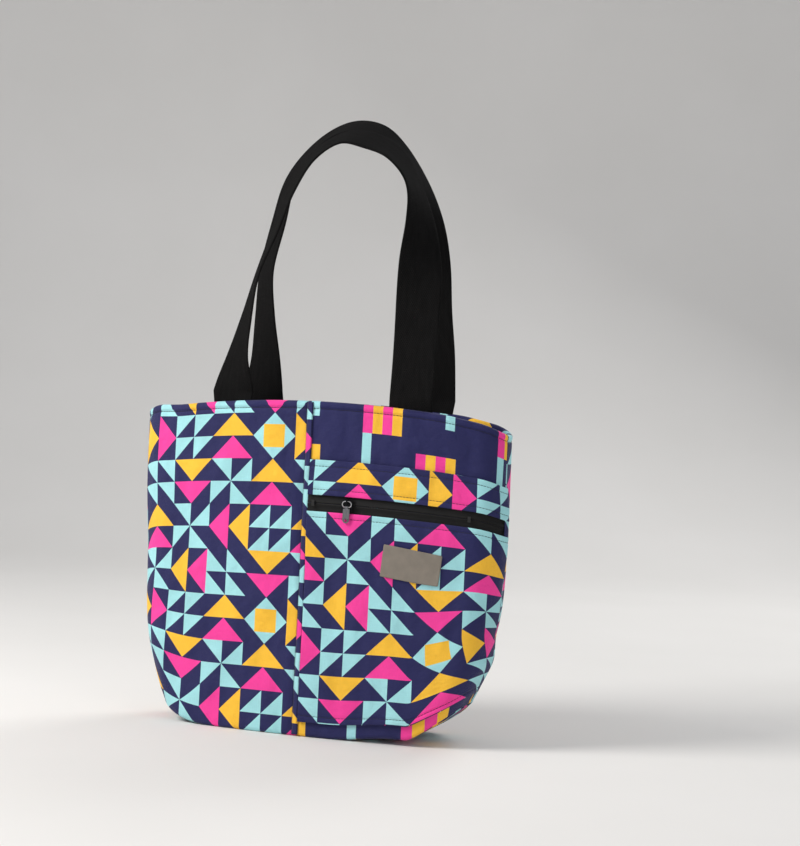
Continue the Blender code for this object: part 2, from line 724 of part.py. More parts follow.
def make_zip_pull_parts():
    """The slider on its arc's axis, the ring on the crown and the tab on the ring."""
    frame = zip_frame()
    centre, axis = zip_axis()
    travel = add_pivot("zip_travel_axis", Matrix.Translation(centre))
    holder = add_pivot("slider_frame", frame, travel)
    make_slider(holder)
    swing_place = frame @ Matrix.Translation((0, -ring_out(), CROWN_RAISE))
    swing = add_pivot("ring_swing_axis", swing_place, holder)
    make_ring(swing)
    lift_place = swing_place @ Matrix.Translation((0, 0, -(RING_HEIGHT - RING_WIRE)))
    lift = add_pivot("pull_lift_axis", lift_place, swing)
    make_pull(lift)
    level = Level(zip_share(0))
    low, high = slider_limits(level)
    print("zip axis", tuple(round(v, 6) for v in centre), tuple(round(v, 6) for v in axis))
    travel_ends = [degrees((run - SLIDER_PLACE) / level.front_radius) for run in (low, high)]
    print("zip travel deg", [round(end, 3) for end in travel_ends])
    print("ring swing", tuple(round(v, 6) for v in swing_place.translation),
          tuple(round(v, 6) for v in -(swing_place.to_3x3() @ Vector((0, 1, 0)))))
    print("pull lift", tuple(round(v, 6) for v in lift_place.translation),
          tuple(round(v, 6) for v in lift_place.to_3x3() @ Vector((1, 0, 0))))


def strap_hinge(facing):
    """The foot of a strap's loop, at the middle of the bag and of the webbing's thickness."""
    inset = COTTON + FOAM + 2 * LAYER_GAP + WEBBING / 2
    level = Level(1)
    seats = [surface(level, place, -inset, facing) for place in (STRAP_LEFT_PLACE, STRAP_RIGHT_PLACE)]
    y = (seats[0].y + seats[1].y) / 2
    z = (seats[0].z + seats[1].z) / 2 + HINGE_RISE
    return Vector((0, y, z))


def fold_place(facing):
    """A point on the line that a strap folds about: at its outer face, halfway down its gap."""
    return strap_hinge(facing) + Vector((0, facing * WEBBING / 2, -HINGE_GAP / 2))


def make_strap_end(name, place, facing):
    """Webbing sewn between the foam and the facing, straightened above the rim."""
    inset = COTTON + FOAM + 2 * LAYER_GAP + WEBBING / 2
    half = STRAP_WIDTH / 2
    columns = STRAP_END_COLUMNS
    hinge = strap_hinge(facing)
    level = Level(1)
    middle = surface(level, place, -inset, facing).x
    foot = share_at(BAG_HEIGHT - STRAP_TUCK)
    points = []
    rows = [foot, mix(foot, 1, 1 / 2), 1]
    for side in (1, -1):
        off = -inset + side * WEBBING / 2
        for share in rows:
            here = Level(share)
            for column in range(columns):
                run = place + mix(-half, half, column / (columns - 1))
                points.append(surface(here, run, off, facing))
        for column in range(columns):
            x = middle + mix(-half, half, column / (columns - 1))
            points.append(Vector((x, hinge.y + facing * side * WEBBING / 2, hinge.z - HINGE_GAP)))
    faces = slab_faces(len(rows) + 1, columns)
    add_object(name, mesh_from(name, points, faces), "webbing")
    return middle


def smooth_route(shares, samples):
    """Points of a smooth curve through the strap's shares, evenly spread over its spans."""
    ends = [shares[0]] + list(shares) + [shares[-1]]
    route = []
    spans = len(shares) - 1
    for sample in range(samples + 1):
        place = spans * sample / samples
        span = min(int(place), spans - 1)
        t = place - span
        before, here, after, beyond = (Vector(ends[span + step]) for step in range(4))
        a = 2 * here
        b = after - before
        c = 2 * before - 5 * here + 4 * after - beyond
        d = -before + 3 * here - 3 * after + beyond
        route.append((a + b * t + c * t * t + d * t * t * t) / 2)
    return route


def make_strap(name, shares, ends, facing, pivot):
    """The loop of webbing above the rim, turned flat over the shoulder at its top."""
    hinge = strap_hinge(facing)
    left, right = ends
    half_spread = (right - left) / 2
    middle = (right + left) / 2
    top_angle = pi / 2 - SHOULDER_SLOPE
    half_top = STRAP_WIDTH / 2 * cos(SHOULDER_SLOPE)
    top_y = facing * (half_top + STRAP_TOP_SPACE / 2)
    rise = STRAP_RISE + facing * (half_top + STRAP_TOP_SPACE / 2) * sin(SHOULDER_SLOPE) / cos(SHOULDER_SLOPE)
    route = smooth_route([Vector(share) for share in shares], STRAP_SAMPLES)
    centres = [Vector((middle + across * half_spread, mix(hinge.y, top_y, lean), hinge.z + up * rise))
               for across, up, lean, _ in route]
    points = []
    last = len(centres) - 1
    for index, centre in enumerate(centres):
        ahead = centres[min(index + 1, last)] - centres[max(index - 1, 0)]
        ahead.y = 0
        ahead.normalize()
        if index == 0:
            ahead = Vector((0, 0, 1))
        if index == last:
            ahead = Vector((0, 0, -1))
        outward = Vector((-ahead.z, 0, ahead.x))
        angle = max(route[index][3], 0) * top_angle
        wide = outward * cos(angle) + Vector((0, 1, 0)) * sin(angle)
        thick = ahead.cross(wide)
        for across, through in ((-1, -1), (0, -1), (1, -1), (1, 1), (0, 1), (-1, 1)):
            points.append(centre + wide * across * STRAP_WIDTH / 2 + thick * through * WEBBING / 2)
    ring = 6
    faces = [tuple(range(ring)), tuple(range(last * ring, last * ring + ring))]
    for index in range(last):
        for side in range(ring):
            beside = (side + 1) % ring
            faces.append((index * ring + side, index * ring + beside,
                          (index + 1) * ring + beside, (index + 1) * ring + side))
    axis = fold_place(facing)
    add_object(name, mesh_from(name, [point - axis for point in points], faces), "webbing", pivot)
    length = sum((after - here).length for here, after in zip(centres, centres[1:]))
    print(name, "fold", tuple(round(v, 6) for v in axis), "loop length", round(length, 4))


def make_straps():
    """Both straps, with their four sewn ends."""
    for side, facing, shares in (("front", -1, FRONT_STRAP_SHARES), ("back", 1, BACK_STRAP_SHARES)):
        ends = []
        for end, place in (("left", STRAP_LEFT_PLACE), ("right", STRAP_RIGHT_PLACE)):
            ends.append(make_strap_end("strap_" + side + "_end_" + end, place, facing))
        pivot = add_pivot("strap_" + side + "_axis", Matrix.Translation(fold_place(facing)))
        make_strap("strap_" + side, shares, ends, facing, pivot)


def main():
    clear_scene()
    make_walls()
    make_pocket()
    make_zip_pull_parts()
    make_straps()


main()
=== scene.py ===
"""Looks of the tote bag: printed cotton walls, webbing straps, a zipped pocket and its parts."""

from bisect import bisect_right
from functools import partialmethod
from math import atan2, copysign, cos, exp, hypot, pi, radians, sin, sqrt

import bmesh
import bpy
from mathutils import Matrix, Vector, noise

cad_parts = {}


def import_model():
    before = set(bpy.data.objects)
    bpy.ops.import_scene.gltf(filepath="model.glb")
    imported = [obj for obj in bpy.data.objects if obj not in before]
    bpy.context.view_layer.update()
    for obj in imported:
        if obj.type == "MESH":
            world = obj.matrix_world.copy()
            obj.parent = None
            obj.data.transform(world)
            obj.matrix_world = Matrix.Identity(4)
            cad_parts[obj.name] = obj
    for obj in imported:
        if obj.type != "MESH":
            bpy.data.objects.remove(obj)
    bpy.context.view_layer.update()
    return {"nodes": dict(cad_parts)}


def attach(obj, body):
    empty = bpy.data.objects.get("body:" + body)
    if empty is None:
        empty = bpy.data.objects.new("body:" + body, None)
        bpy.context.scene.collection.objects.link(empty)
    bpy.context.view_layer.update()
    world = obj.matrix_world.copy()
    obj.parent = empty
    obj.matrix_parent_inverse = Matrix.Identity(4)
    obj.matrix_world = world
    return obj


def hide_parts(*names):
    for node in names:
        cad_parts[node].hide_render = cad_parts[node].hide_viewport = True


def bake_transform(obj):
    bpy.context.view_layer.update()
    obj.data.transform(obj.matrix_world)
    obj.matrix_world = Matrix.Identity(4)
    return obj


MM = 0.001
# The bag's two sides, with the direction along Y that each one faces
SIDES = (("front", -1), ("back", 1))

# The bag surface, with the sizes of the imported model
BASE_HALF_LENGTH = 134 * MM
BASE_HALF_DEPTH = 50 * MM
RIM_HALF_LENGTH = 168 * MM
RIM_HALF_DEPTH = 47 * MM
BAG_HEIGHT = 287 * MM
BASE_FRONT_RADIUS = 900 * MM
RIM_FRONT_RADIUS = 490 * MM
BASE_SIDE_RADIUS = 110 * MM
RIM_SIDE_RADIUS = 46 * MM
CORNER_RADIUS = 30 * MM
RIM_TILT = radians(29)
EASE_LENGTH = 28 * MM
BASE_FLAT_LEFT = 80 * MM
BASE_LIFT_LEFT = 16 * MM
EASY_START = 30 * MM
EASY_END = 90 * MM
EASY_LIFT = 5 * MM
BASE_FOLD = 100 * MM
BASE_LIFT_RIGHT = 29 * MM
FOLD_POWER = 1.2
SLUMP_POWER = 1.8
SLUMP_TOP_SHARE = 0.62
SIDE_PRESS = 5 * MM
CORNER_SAG = 7 * MM
RIM_RISE_LEFT = 3.5 * MM
RIM_FALL_RIGHT = 2.5 * MM
FLARE_POWER = 4.5
TILT_POWER = 0.6
WALL_FOOT = 1.5 * MM

# Offsets and thicknesses of the layers on that surface, and the seams
COTTON = 1.0 * MM
FOAM_OUT = -1.5 * MM
FOAM_IN = -4.0 * MM
LINING_OUT = -7.0 * MM
LINING_IN = -7.8 * MM
SEAM_GAP = 0.4 * MM
SEAM_FORWARD = 8 * MM
CENTRE_LINE = -4.8 * MM
SEAM_GROOVE = 0.6 * MM
RIM_GROOVE = 0.8 * MM
FACING_DEPTH = 45 * MM
WEBBING = 2.0 * MM
WEBBING_OFFSET = -5.5 * MM

# The pocket and the zip
STRIP_END = 4.6 * MM
POCKET_START = 5.2 * MM
POCKET_TOP_DROP = 50 * MM
POCKET_FOOT_HEIGHT = 13 * MM
ZIP_HEIGHT = 200 * MM
ZIP_SLOT = 14 * MM
TAPE_WIDTH = 13 * MM
POCKET_LOW = 1.6 * MM
POCKET_IN = 3.9 * MM
POCKET_COTTON = 0.9 * MM
LIFT_FADE = 45 * MM
TAPE_IN = 2.9 * MM
TAPE_OUT = 3.4 * MM
TAPE_RIDGE = 0.8 * MM
COIL_IN = 1.6 * MM
COIL_PITCH = 1.35 * MM
COIL_RADIUS = 0.26 * MM
COIL_MIDDLE = 0.55 * MM
COIL_DEPTH = 0.3 * MM
COIL_BESIDE = 0.8 * MM
COIL_PLACE = 0.95 * MM
COIL_REACH = 0.78 * MM
COIL_STEPS = 8
COIL_SIDES = 5

# The label
LABEL_WIDTH = 50 * MM
LABEL_HEIGHT = 28 * MM
LABEL_RUN = 98 * MM
LABEL_PLACE = 154 * MM
LABEL_LEAN = radians(5.5)
LABEL_CORNER = 1.0 * MM
LABEL_HALF_THICKNESS = 0.6 * MM
LABEL_LIFT = 0.9 * MM
LABEL_GROOVE = 0.14 * MM
LABEL_STEP = 1.6 * MM

# The straps
STRAP_WIDTH = 38 * MM
STRAP_PLACES = (-76 * MM, 90 * MM)
STRAP_TUCK = 40 * MM
HINGE_RISE = 9 * MM
STRAP_RISE = 234 * MM
STRAP_TOP_SPACE = 1.4 * MM
SHOULDER_SLOPE = radians(25)
# Shares along each loop: across its spread, up its rise, lean to the top, and twist
ACROSS_SHARES = {
    -1: (-1, -0.985, -0.915, -0.83, -0.66, -0.52, -0.28, 0.06, 0.4, 0.68, 0.88, 0.97, 1, 1.01,
         1.01, 1),
    1: (-1, -0.985, -1, -0.985, -0.85, -0.71, -0.42, -0.08, 0.24, 0.5, 0.76, 0.88, 0.91, 0.93,
        0.98, 1),
}
UP_SHARES = {
    -1: (0, 0.13, 0.29, 0.46, 0.64, 0.8, 0.93, 1, 0.98, 0.92, 0.81, 0.67, 0.5, 0.33, 0.16, 0),
    1: (0, 0.13, 0.29, 0.46, 0.64, 0.8, 0.925, 0.99, 0.98, 0.92, 0.81, 0.67, 0.5, 0.33, 0.16, 0),
}
LEAN_SHARES = (0, 0.12, 0.3, 0.52, 0.72, 0.88, 1, 1, 1, 0.92, 0.84, 0.72, 0.52, 0.32, 0.13, 0)
TWIST_SHARES = {
    -1: (0, 0.58, 0.84, 0.98, 0.92, 0.86, 0.94, 1, 1, 1.16, 1.3, 1.02, 0.5, 0.16, 0.03, 0),
    1: (0, 0.38, 0.63, 0.76, 0.76, 0.84, 0.96, 1, 1, 1.16, 1.3, 1.02, 0.5, 0.16, 0.03, 0),
}

# The camera, fitted to the photograph's landmarks
CAMERA_AZIMUTH = radians(20.0)
CAMERA_ELEVATION = radians(-0.7)
CAMERA_ROLL = radians(2.6)
CAMERA_DISTANCE = 1.6
CAMERA_AIM = 0.29
FOCAL_PIXELS = 1812
CENTRE_PIXEL = (327, 398.6)
PICTURE = (800, 846)


# ---------------- bag surface

def mix(low, high, share):
    return low + (high - low) * share


def clamp(value, low=0.0, high=1.0):
    return max(low, min(high, value))


def smooth(share):
    share = clamp(share)
    return share * share * (3 - 2 * share)


def grow(value, start, length):
    """0 up to the start, then smoothly up to 1 over the length."""
    return smooth((value - start) / length)


def bump_at(distance, width):
    return exp(-(distance / width) ** 2)


class Level:
    """The outline of the bag surface at one share of its height."""

    cache = {}

    def __init__(self, share):
        self.share = share
        self.seam_shift = SEAM_FORWARD * smooth(share / 0.65)
        self.height = height_at(share)
        self.slump = max(1 - share / SLUMP_TOP_SHARE, 0) ** SLUMP_POWER
        flare = 1 - max(1 - share, 0) ** FLARE_POWER
        self.half_length = mix(BASE_HALF_LENGTH, RIM_HALF_LENGTH, flare)
        half_depth = mix(BASE_HALF_DEPTH, RIM_HALF_DEPTH, share)
        self.tilt = RIM_TILT * max(share, 0) ** TILT_POWER
        self.front_radius = mix(BASE_FRONT_RADIUS, RIM_FRONT_RADIUS, share)
        self.side_radius = BASE_SIDE_RADIUS * (RIM_SIDE_RADIUS / BASE_SIDE_RADIUS) ** share
        self.reach = half_depth / cos(self.tilt)
        self.front_y = self.front_radius - self.reach
        self.side_x = self.half_length - self.side_radius
        to_front = self.front_radius - CORNER_RADIUS
        to_side = self.side_radius - CORNER_RADIUS
        apart = hypot(self.side_x, self.front_y)
        along = (to_front ** 2 - to_side ** 2 + apart ** 2) / (2 * apart)
        across = sqrt(max(to_front ** 2 - along ** 2, 0))
        run_x = self.side_x / apart
        run_y = -self.front_y / apart
        self.corner_x = along * run_x - across * run_y
        self.corner_y = self.front_y + along * run_y + across * run_x
        self.front_angle = atan2(self.corner_x, self.front_y - self.corner_y)
        self.side_angle = atan2(self.corner_x - self.side_x, -self.corner_y)
        self.front_run = self.front_radius * self.front_angle
        self.corner_run = CORNER_RADIUS * (self.side_angle - self.front_angle)
        side_run = self.side_radius * (pi / 2 - self.side_angle)
        self.half_run = self.front_run + self.corner_run + side_run

    def place(self, run):
        """Point and outward normal in the tilted plane, a run along the front from its middle."""
        side = 1 if run >= 0 else -1
        run = abs(run)
        if run <= self.front_run:
            angle = run / self.front_radius
            x, y, radius = 0, self.front_y, self.front_radius
        elif run <= self.front_run + self.corner_run:
            angle = self.front_angle + (run - self.front_run) / CORNER_RADIUS
            x, y, radius = self.corner_x, self.corner_y, CORNER_RADIUS
        else:
            angle = self.side_angle + (run - self.front_run - self.corner_run) / self.side_radius
            x, y, radius = self.side_x, 0, self.side_radius
        point = (side * (x + radius * sin(angle)), y - radius * cos(angle))
        return point, (side * sin(angle), -cos(angle))


def level_at(share):
    key = round(share, 6)
    if key not in Level.cache:
        Level.cache[key] = Level(share)
    return Level.cache[key]


def end_lift(x):
    """How far the base's soft ends rise: the left one, and the right one past its fold."""
    if x <= 0:
        past = max(-x - BASE_FLAT_LEFT, 0) / (BASE_HALF_LENGTH - BASE_FLAT_LEFT)
        return BASE_LIFT_LEFT * past ** 2
    easy = EASY_LIFT * grow(x, EASY_START, EASY_END - EASY_START)
    past = max(x - BASE_FOLD, 0) / (BASE_HALF_LENGTH - BASE_FOLD)
    return easy + BASE_LIFT_RIGHT * past ** FOLD_POWER


def askew(point, share):
    """The place of a point of the straight bag on the hanging one, whose ends are out of true."""
    x, y, z = point
    left_end = grow(-x, 100 * MM, 50 * MM)
    right_end = grow(x, 95 * MM, 40 * MM)
    high = grow(share, 0.75, 0.25)
    z += RIM_RISE_LEFT * high * grow(-x, 120 * MM, 45 * MM)
    z -= RIM_FALL_RIGHT * high * grow(x, 110 * MM, 50 * MM)
    x += SIDE_PRESS * left_end * bump_at(share - 0.5, 0.26)
    x += CORNER_SAG * right_end * (1 - grow(share, 0.12, 0.18))
    return Vector((x, y, z))


def straight(level, run, offset, facing=-1):
    """A point set off outwards from the surface of the straight bag. facing is 1 at the back."""
    (across, inward), (normal_x, normal_y) = level.place(run)
    travel = inward + level.reach
    ease = min(EASE_LENGTH, level.reach)
    start = level.reach - ease
    if travel > start:
        past = travel - start
        travel = start + past - past ** 2 / (2 * ease)
    x = across + normal_x * offset
    y = cos(level.tilt) * inward + normal_y * offset
    z = level.height - sin(level.tilt) * travel + end_lift(across) * level.slump
    return Vector((x, -facing * y, z))


def surface(level, run, offset, facing=-1):
    """A point set off outwards from the bag surface. facing is -1 at the front, 1 at the back."""
    return askew(straight(level, run, offset, facing), level.share)


def share_at(height):
    return (height - WALL_FOOT) / (BAG_HEIGHT - WALL_FOOT)


def height_at(share):
    return mix(WALL_FOOT, BAG_HEIGHT, share)


# The cloth's unevenness: height, and length along and up, in millimetres
SLACK = (1.1, 62, 74)
DENTS = (0.38, 21, 26)
RIM_PUCKER = (0.30, 7.5, 30)
SEAM_PUCKER = (0.34, 26, 7.5)
EDGE_PUCKER = 0.35
CENTRE_HOLLOW = 0.8
RIM_STITCH_DROP = 6.5


def ripple(kind, u, v, seed):
    size, along, up = kind
    return size * noise.noise(Vector((u / along, v / up, seed)))


def relief(run, height, facing):
    """How far the cloth stands off the smooth surface: slack, dents and pressed seams."""
    u = run / MM
    v = height / MM
    seed = 11.0 if facing < 0 else 57.0
    off = ripple(SLACK, u, v, seed) + ripple(DENTS, u, v, seed + 9)
    rim = round(BAG_HEIGHT / MM) - v
    off += ripple(RIM_PUCKER, u, v, seed + 20) * exp(-abs(rim - RIM_STITCH_DROP) / 7)
    if facing < 0:
        off += ripple(SEAM_PUCKER, u, v, seed + 30) * exp(-abs(u + 2) / 8)
        off -= CENTRE_HOLLOW * bump_at(u, 2.6)
    fade = smooth(v / 14) * smooth((rim + 3) / 14)
    side = level_at(round(share_at(height), 3)).half_run - abs(run)
    off *= mix(0.25, 1.0, smooth(side / (26 * MM)))
    edge = noise.noise(Vector((v / 9, 3.3, 7.1)))
    off += EDGE_PUCKER * edge * exp(-abs(side) / (9 * MM))
    return off * mix(0.35, 1.0, fade) * MM


# ---------------- mesh making

def add_to_scene(name, data):
    holder = bpy.data.objects.new(name, data)
    bpy.context.scene.collection.objects.link(holder)
    return holder


def new_object(name, points, faces, uvs=None):
    """A mesh object from points, faces and one UV for each point."""
    mesh = bpy.data.meshes.new(name)
    mesh.from_pydata(points, [], faces)
    if uvs:
        layer = mesh.uv_layers.new(name="cloth")
        for loop in mesh.loops:
            layer.data[loop.index].uv = uvs[loop.vertex_index]
    work = bmesh.new()
    work.from_mesh(mesh)
    bmesh.ops.recalc_face_normals(work, faces=work.faces)
    work.to_mesh(mesh)
    work.free()
    mesh.shade_smooth()
    return add_to_scene(name, mesh)


def slab(name, points, uvs, width):
    """A closed slab from two grids of points, one after the other, in rows of this width."""
    back = len(points) // 2
    rows = back // width
    faces = []
    for row in range(rows - 1):
        for column in range(width - 1):
            corner = row * width + column
            square = (corner, corner + 1, corner + width + 1, corner + width)
            faces.append(square)
            faces.append(tuple(back + index for index in reversed(square)))
    edge = list(range(width))
    edge += [row * width + width - 1 for row in range(1, rows)]
    edge += [(rows - 1) * width + column for column in range(width - 2, -1, -1)]
    edge += [row * width for row in range(rows - 2, 0, -1)]
    for here, after in zip(edge, edge[1:] + edge[:1]):
        faces.append((after, here, here + back, after + back))
    return new_object(name, points, faces, uvs)


def tube_faces(first, rings, sides):
    """Faces of a closed tube, whose rings of points begin at the point numbered first."""
    faces = []
    for low in range(first, first + (rings - 1) * sides, sides):
        for side in range(sides):
            beside = (side + 1) % sides
            faces.append((low + side, low + beside, low + sides + beside, low + sides + side))
    faces.append(tuple(first + side for side in range(sides)))
    last = first + (rings - 1) * sides
    faces.append(tuple(last + side for side in reversed(range(sides))))
    return faces


# Distances from a sheet's edge, and from a seam, at which it has rows of points
BORDER = (0.0, 0.25 * MM, 0.7 * MM, 1.5 * MM, 3.0 * MM, 5.0 * MM)
SEAM_ROWS = (-1.8, -0.9, 0.0, 0.9, 1.8)
SEAM_CLEAR = 1.9 * MM
SEAM_WIDTH = 1.1 * MM
STEP = 2.6 * MM


def stations(start, end, step, seams=(), bordered=True):
    """Places from start to end, closer at the borders and round each seam."""
    edge = BORDER[-1] if bordered else 0
    inner_start = start + edge
    inner_end = end - edge
    count = max(int(round((inner_end - inner_start) / step)), 1)
    places = {round(mix(inner_start, inner_end, index / count), 7) for index in range(count + 1)}
    if bordered:
        places |= {round(start + part, 7) for part in BORDER}
        places |= {round(end - part, 7) for part in BORDER}
    for seam in seams:
        places = {place for place in places if abs(place - seam) > SEAM_CLEAR or
                  min(abs(place - start), abs(place - end)) < 0.1 * MM}
        places |= {round(seam + part * MM, 7) for part in SEAM_ROWS
                   if start < seam + part * MM < end}
    return sorted(places)


def column_plan(start, end, step):
    """Columns as (kind, amount): runs from the start, from the end, or shares of the middle."""
    top = level_at(1)
    low = -top.half_run if start == "left" else start
    high = top.half_run if end == "right" else end
    count = max(int(round((high - low - BORDER[-1] - BORDER[-1]) / step)), 1)
    plan = [("start", part) for part in BORDER]
    plan += [("middle", index / count) for index in range(1, count)]
    plan += [("end", part) for part in reversed(BORDER)]
    return plan


def seam_run(level, facing):
    """The run of the side seam, which the back's slack pulls a little to the front."""
    return level.half_run - SEAM_GAP / 2 + facing * level.seam_shift


def column_run(level, start, end, item, facing):
    """The run of one column at a level, and its distance to both ends."""
    low = -seam_run(level, facing) if start == "left" else start
    high = seam_run(level, facing) if end == "right" else end
    kind, amount = item
    if kind == "start":
        run = low + amount
    elif kind == "end":
        run = high - amount
    else:
        run = mix(low + BORDER[-1], high - BORDER[-1], amount)
    return run, run - low, high - run


def rounding(distance, radius=0.9 * MM):
    """The share of a sheet's half thickness at a distance from its edge."""
    if distance >= radius:
        return 1.0
    return max(sqrt(max(1 - (1 - distance / radius) ** 2, 0)), 0.2)


def value_of(offset, share):
    return offset(share) if callable(offset) else offset


def cloth(name, low, high, inner, outer, start="left", end="right", facing=-1, shift=(0, 0),
          seams=(), step=STEP):
    """A closed sheet of cloth on the bag surface, from height low to high and run start to end.

    seams are the heights that stitching presses down. shift moves the print.
    """
    plan = column_plan(start, end, step)
    points = []
    uvs = []
    for side in (1, 0):
        for height in stations(low, high, step, seams):
            share = share_at(height)
            level = level_at(share)
            high_off = value_of(outer, share)
            low_off = value_of(inner, share)
            for item in plan:
                run, left, right = column_run(level, start, end, item, facing)
                near = min(left, right, height - low, high - height)
                half = (high_off - low_off) / 2 * rounding(near)
                off = (high_off + low_off) / 2 + (half if side else -half)
                off += relief(run, height, facing)
                if side:
                    for seam in seams:
                        off -= SEAM_GROOVE * bump_at(height - seam, SEAM_WIDTH)
                points.append(surface(level, run, off, facing))
                uvs.append((run / MM + shift[0], height / MM + shift[1]))
    return slab(name, points, uvs, len(plan))


# ---------------- wall pieces with a rolled rim

ROLL_MOST = 4.3 * MM
ROLL_STEPS = 9
ROLL_WIDTH = 8.5 * MM
ROLL_SLIMMING = 2.4 * MM
ROLL_FULLNESS = 0.45 * MM
FLAP = 9 * MM
FLAP_STEPS = 3
FOOT_RADIUS = 3.4 * MM
FOOT_STEPS = 5
FOOT_TOP = WALL_FOOT + 2 * MM
RIM_LINE = BAG_HEIGHT - RIM_STITCH_DROP * MM


def strap_press(run):
    """1 where a strap is sewn into the rim, 0 away from the straps."""
    return max(1 - grow(abs(run - place), STRAP_WIDTH / 2, 12 * MM) for place in STRAP_PLACES)


def rim_profile(run, part, thickness):
    """Offset, rise and radius of a face of the rolled rim. part is 0 to 1 over the roll."""
    radius = (ROLL_WIDTH - ROLL_SLIMMING * (1 - strap_press(run))) / 2
    inner = radius - thickness
    angle = pi * part
    return -radius + inner * cos(angle), ROLL_MOST - radius + inner * sin(angle), radius


def wall(name, start, end, facing, shift):
    """An outer panel: rounded under at its foot, up the wall, over the rim and down inside."""
    turn = BAG_HEIGHT - ROLL_MOST
    rows = [("foot", pi / 2 * index / FOOT_STEPS) for index in range(FOOT_STEPS)]
    rows += [("wall", height) for height in stations(FOOT_TOP, turn, STEP, [RIM_LINE], False)]
    rows += [("roll", index / ROLL_STEPS) for index in range(1, ROLL_STEPS + 1)]
    rows += [("flap", FLAP * index / FLAP_STEPS) for index in range(1, FLAP_STEPS + 1)]
    plan = column_plan(start, end, STEP)
    points = []
    uvs = []
    for side in (1, 0):
        inset = 0 if side else COTTON
        for kind, amount in rows:
            level = level_at(share_at({"foot": FOOT_TOP, "wall": amount}.get(kind, turn)))
            for item in plan:
                run, left, right = column_run(level, start, end, item, facing)
                if kind == "foot":
                    radius = FOOT_RADIUS - inset
                    off = -FOOT_RADIUS + radius * sin(amount)
                    rise = -radius * cos(amount)
                    v = FOOT_TOP - FOOT_RADIUS * (pi / 2 - amount)
                elif kind == "wall":
                    off = -inset
                    rise = 0.0
                    v = amount
                else:
                    part, drop = (amount, 0.0) if kind == "roll" else (1, amount)
                    off, rise, radius = rim_profile(run, part, inset)
                    rise -= drop
                    v = turn + radius * pi * part + drop
                squeeze = (1 - rounding(min(left, right))) * COTTON / 2
                off += -squeeze if side else squeeze
                off += relief(run, min(v, BAG_HEIGHT), facing) * (-0.3 if kind == "flap" else 1)
                if side and kind in ("wall", "roll"):
                    off -= RIM_GROOVE * bump_at(v - RIM_LINE, SEAM_WIDTH)
                    off += ROLL_FULLNESS * bump_at(v - (BAG_HEIGHT - 2.8 * MM), 2.2 * MM)
                point = surface(level, run, off, facing)
                point.z += rise
                points.append(point)
                uvs.append((run / MM + shift[0], v / MM + shift[1]))
    return slab(name, points, uvs, len(plan))


PLATE_HALF = 26
PLATE_ACROSS = 13


def base_plate(name, inset, low, high, shift=(0, 0)):
    """A layer of the bag's bottom, flat in the middle with raised ends."""
    level = level_at(0)
    points = []
    uvs = []
    for height in (low, high):
        for step in range(1 - PLATE_HALF, PLATE_HALF):
            front = straight(level, level.half_run * step / PLATE_HALF, -inset)
            for column in range(PLATE_ACROSS):
                y = mix(front.y, -front.y, column / (PLATE_ACROSS - 1))
                points.append(askew((front.x, y, height + end_lift(front.x)), 0))
                uvs.append((front.x / MM + shift[0], y / MM + shift[1]))
    return slab(name, points, uvs, PLATE_ACROSS)


# ---------------- stitches

STITCH_PITCH = 2.8 * MM
STITCH_LENGTH = 2.65 * MM
STITCH_WIDTH = 0.46 * MM
STITCH_SINK = 0.5 * MM
STITCH_SIDES = 6
# Rings of one stitch: place along it, thickness, and rise in millimetres
STITCH_RINGS = ((-0.5, 0.3, -0.16), (-0.36, 0.8, -0.02), (0.0, 1.0, 0.05), (0.36, 0.8, -0.02),
                (0.5, 0.3, -0.16))
PATH_STEP = 1.5 * MM


def stitches(name, places, offset, facing):
    """A row of thread stitches through places given as run and height, each sunk at its ends."""
    path = []
    normals = []
    for run, height in places:
        share = share_at(height)
        level = level_at(share)
        off = value_of(offset, share) + relief(run, height, facing) - STITCH_SINK
        path.append(surface(level, run, off, facing))
        _, (normal_x, normal_y) = level.place(run)
        normals.append(Vector((normal_x, -facing * normal_y, 0)))
    distances = [0.0]
    for here, after in zip(path, path[1:]):
        distances.append(distances[-1] + (after - here).length)
    total = distances[-1]

    def at(distance):
        distance = clamp(distance, 0, total)
        index = min(bisect_right(distances, distance), len(path) - 1) - 1
        span = max(distances[index + 1] - distances[index], 1e-9)
        share = (distance - distances[index]) / span
        return [line[index].lerp(line[index + 1], share) for line in (path, normals)]

    points = []
    faces = []
    count = int(total / STITCH_PITCH)
    for index in range(count):
        middle = (index + 0.5) * total / count
        before, after = (at(middle + part * STITCH_LENGTH)[0] for part in (-0.5, 0.5))
        tangent = (after - before).normalized()
        faces += tube_faces(len(points), len(STITCH_RINGS), STITCH_SIDES)
        for place, thick, lift in STITCH_RINGS:
            centre, normal = at(middle + place * STITCH_LENGTH)
            normal = normal.normalized()
            across = tangent.cross(normal).normalized()
            centre = centre + normal * lift * MM
            for side in range(STITCH_SIDES):
                angle = 2 * pi * side / STITCH_SIDES
                spoke = across * cos(angle) + normal * sin(angle)
                points.append(centre + spoke * thick * STITCH_WIDTH / 2)
    return new_object(name, points, faces)


def steps_between(low, high):
    count = int((high - low) / PATH_STEP)
    return [mix(low, high, index / count) for index in range(count + 1)]


def row_stitches(name, height, offset, start=None, facing=-1):
    """Stitches at one height, from the start or left seam to the right seam."""
    high = seam_run(level_at(share_at(height)), facing) - 1 * MM
    runs = steps_between(start or -high, high)
    return stitches(name, [(run, height) for run in runs], offset, facing)


# ---------------- pocket and zip

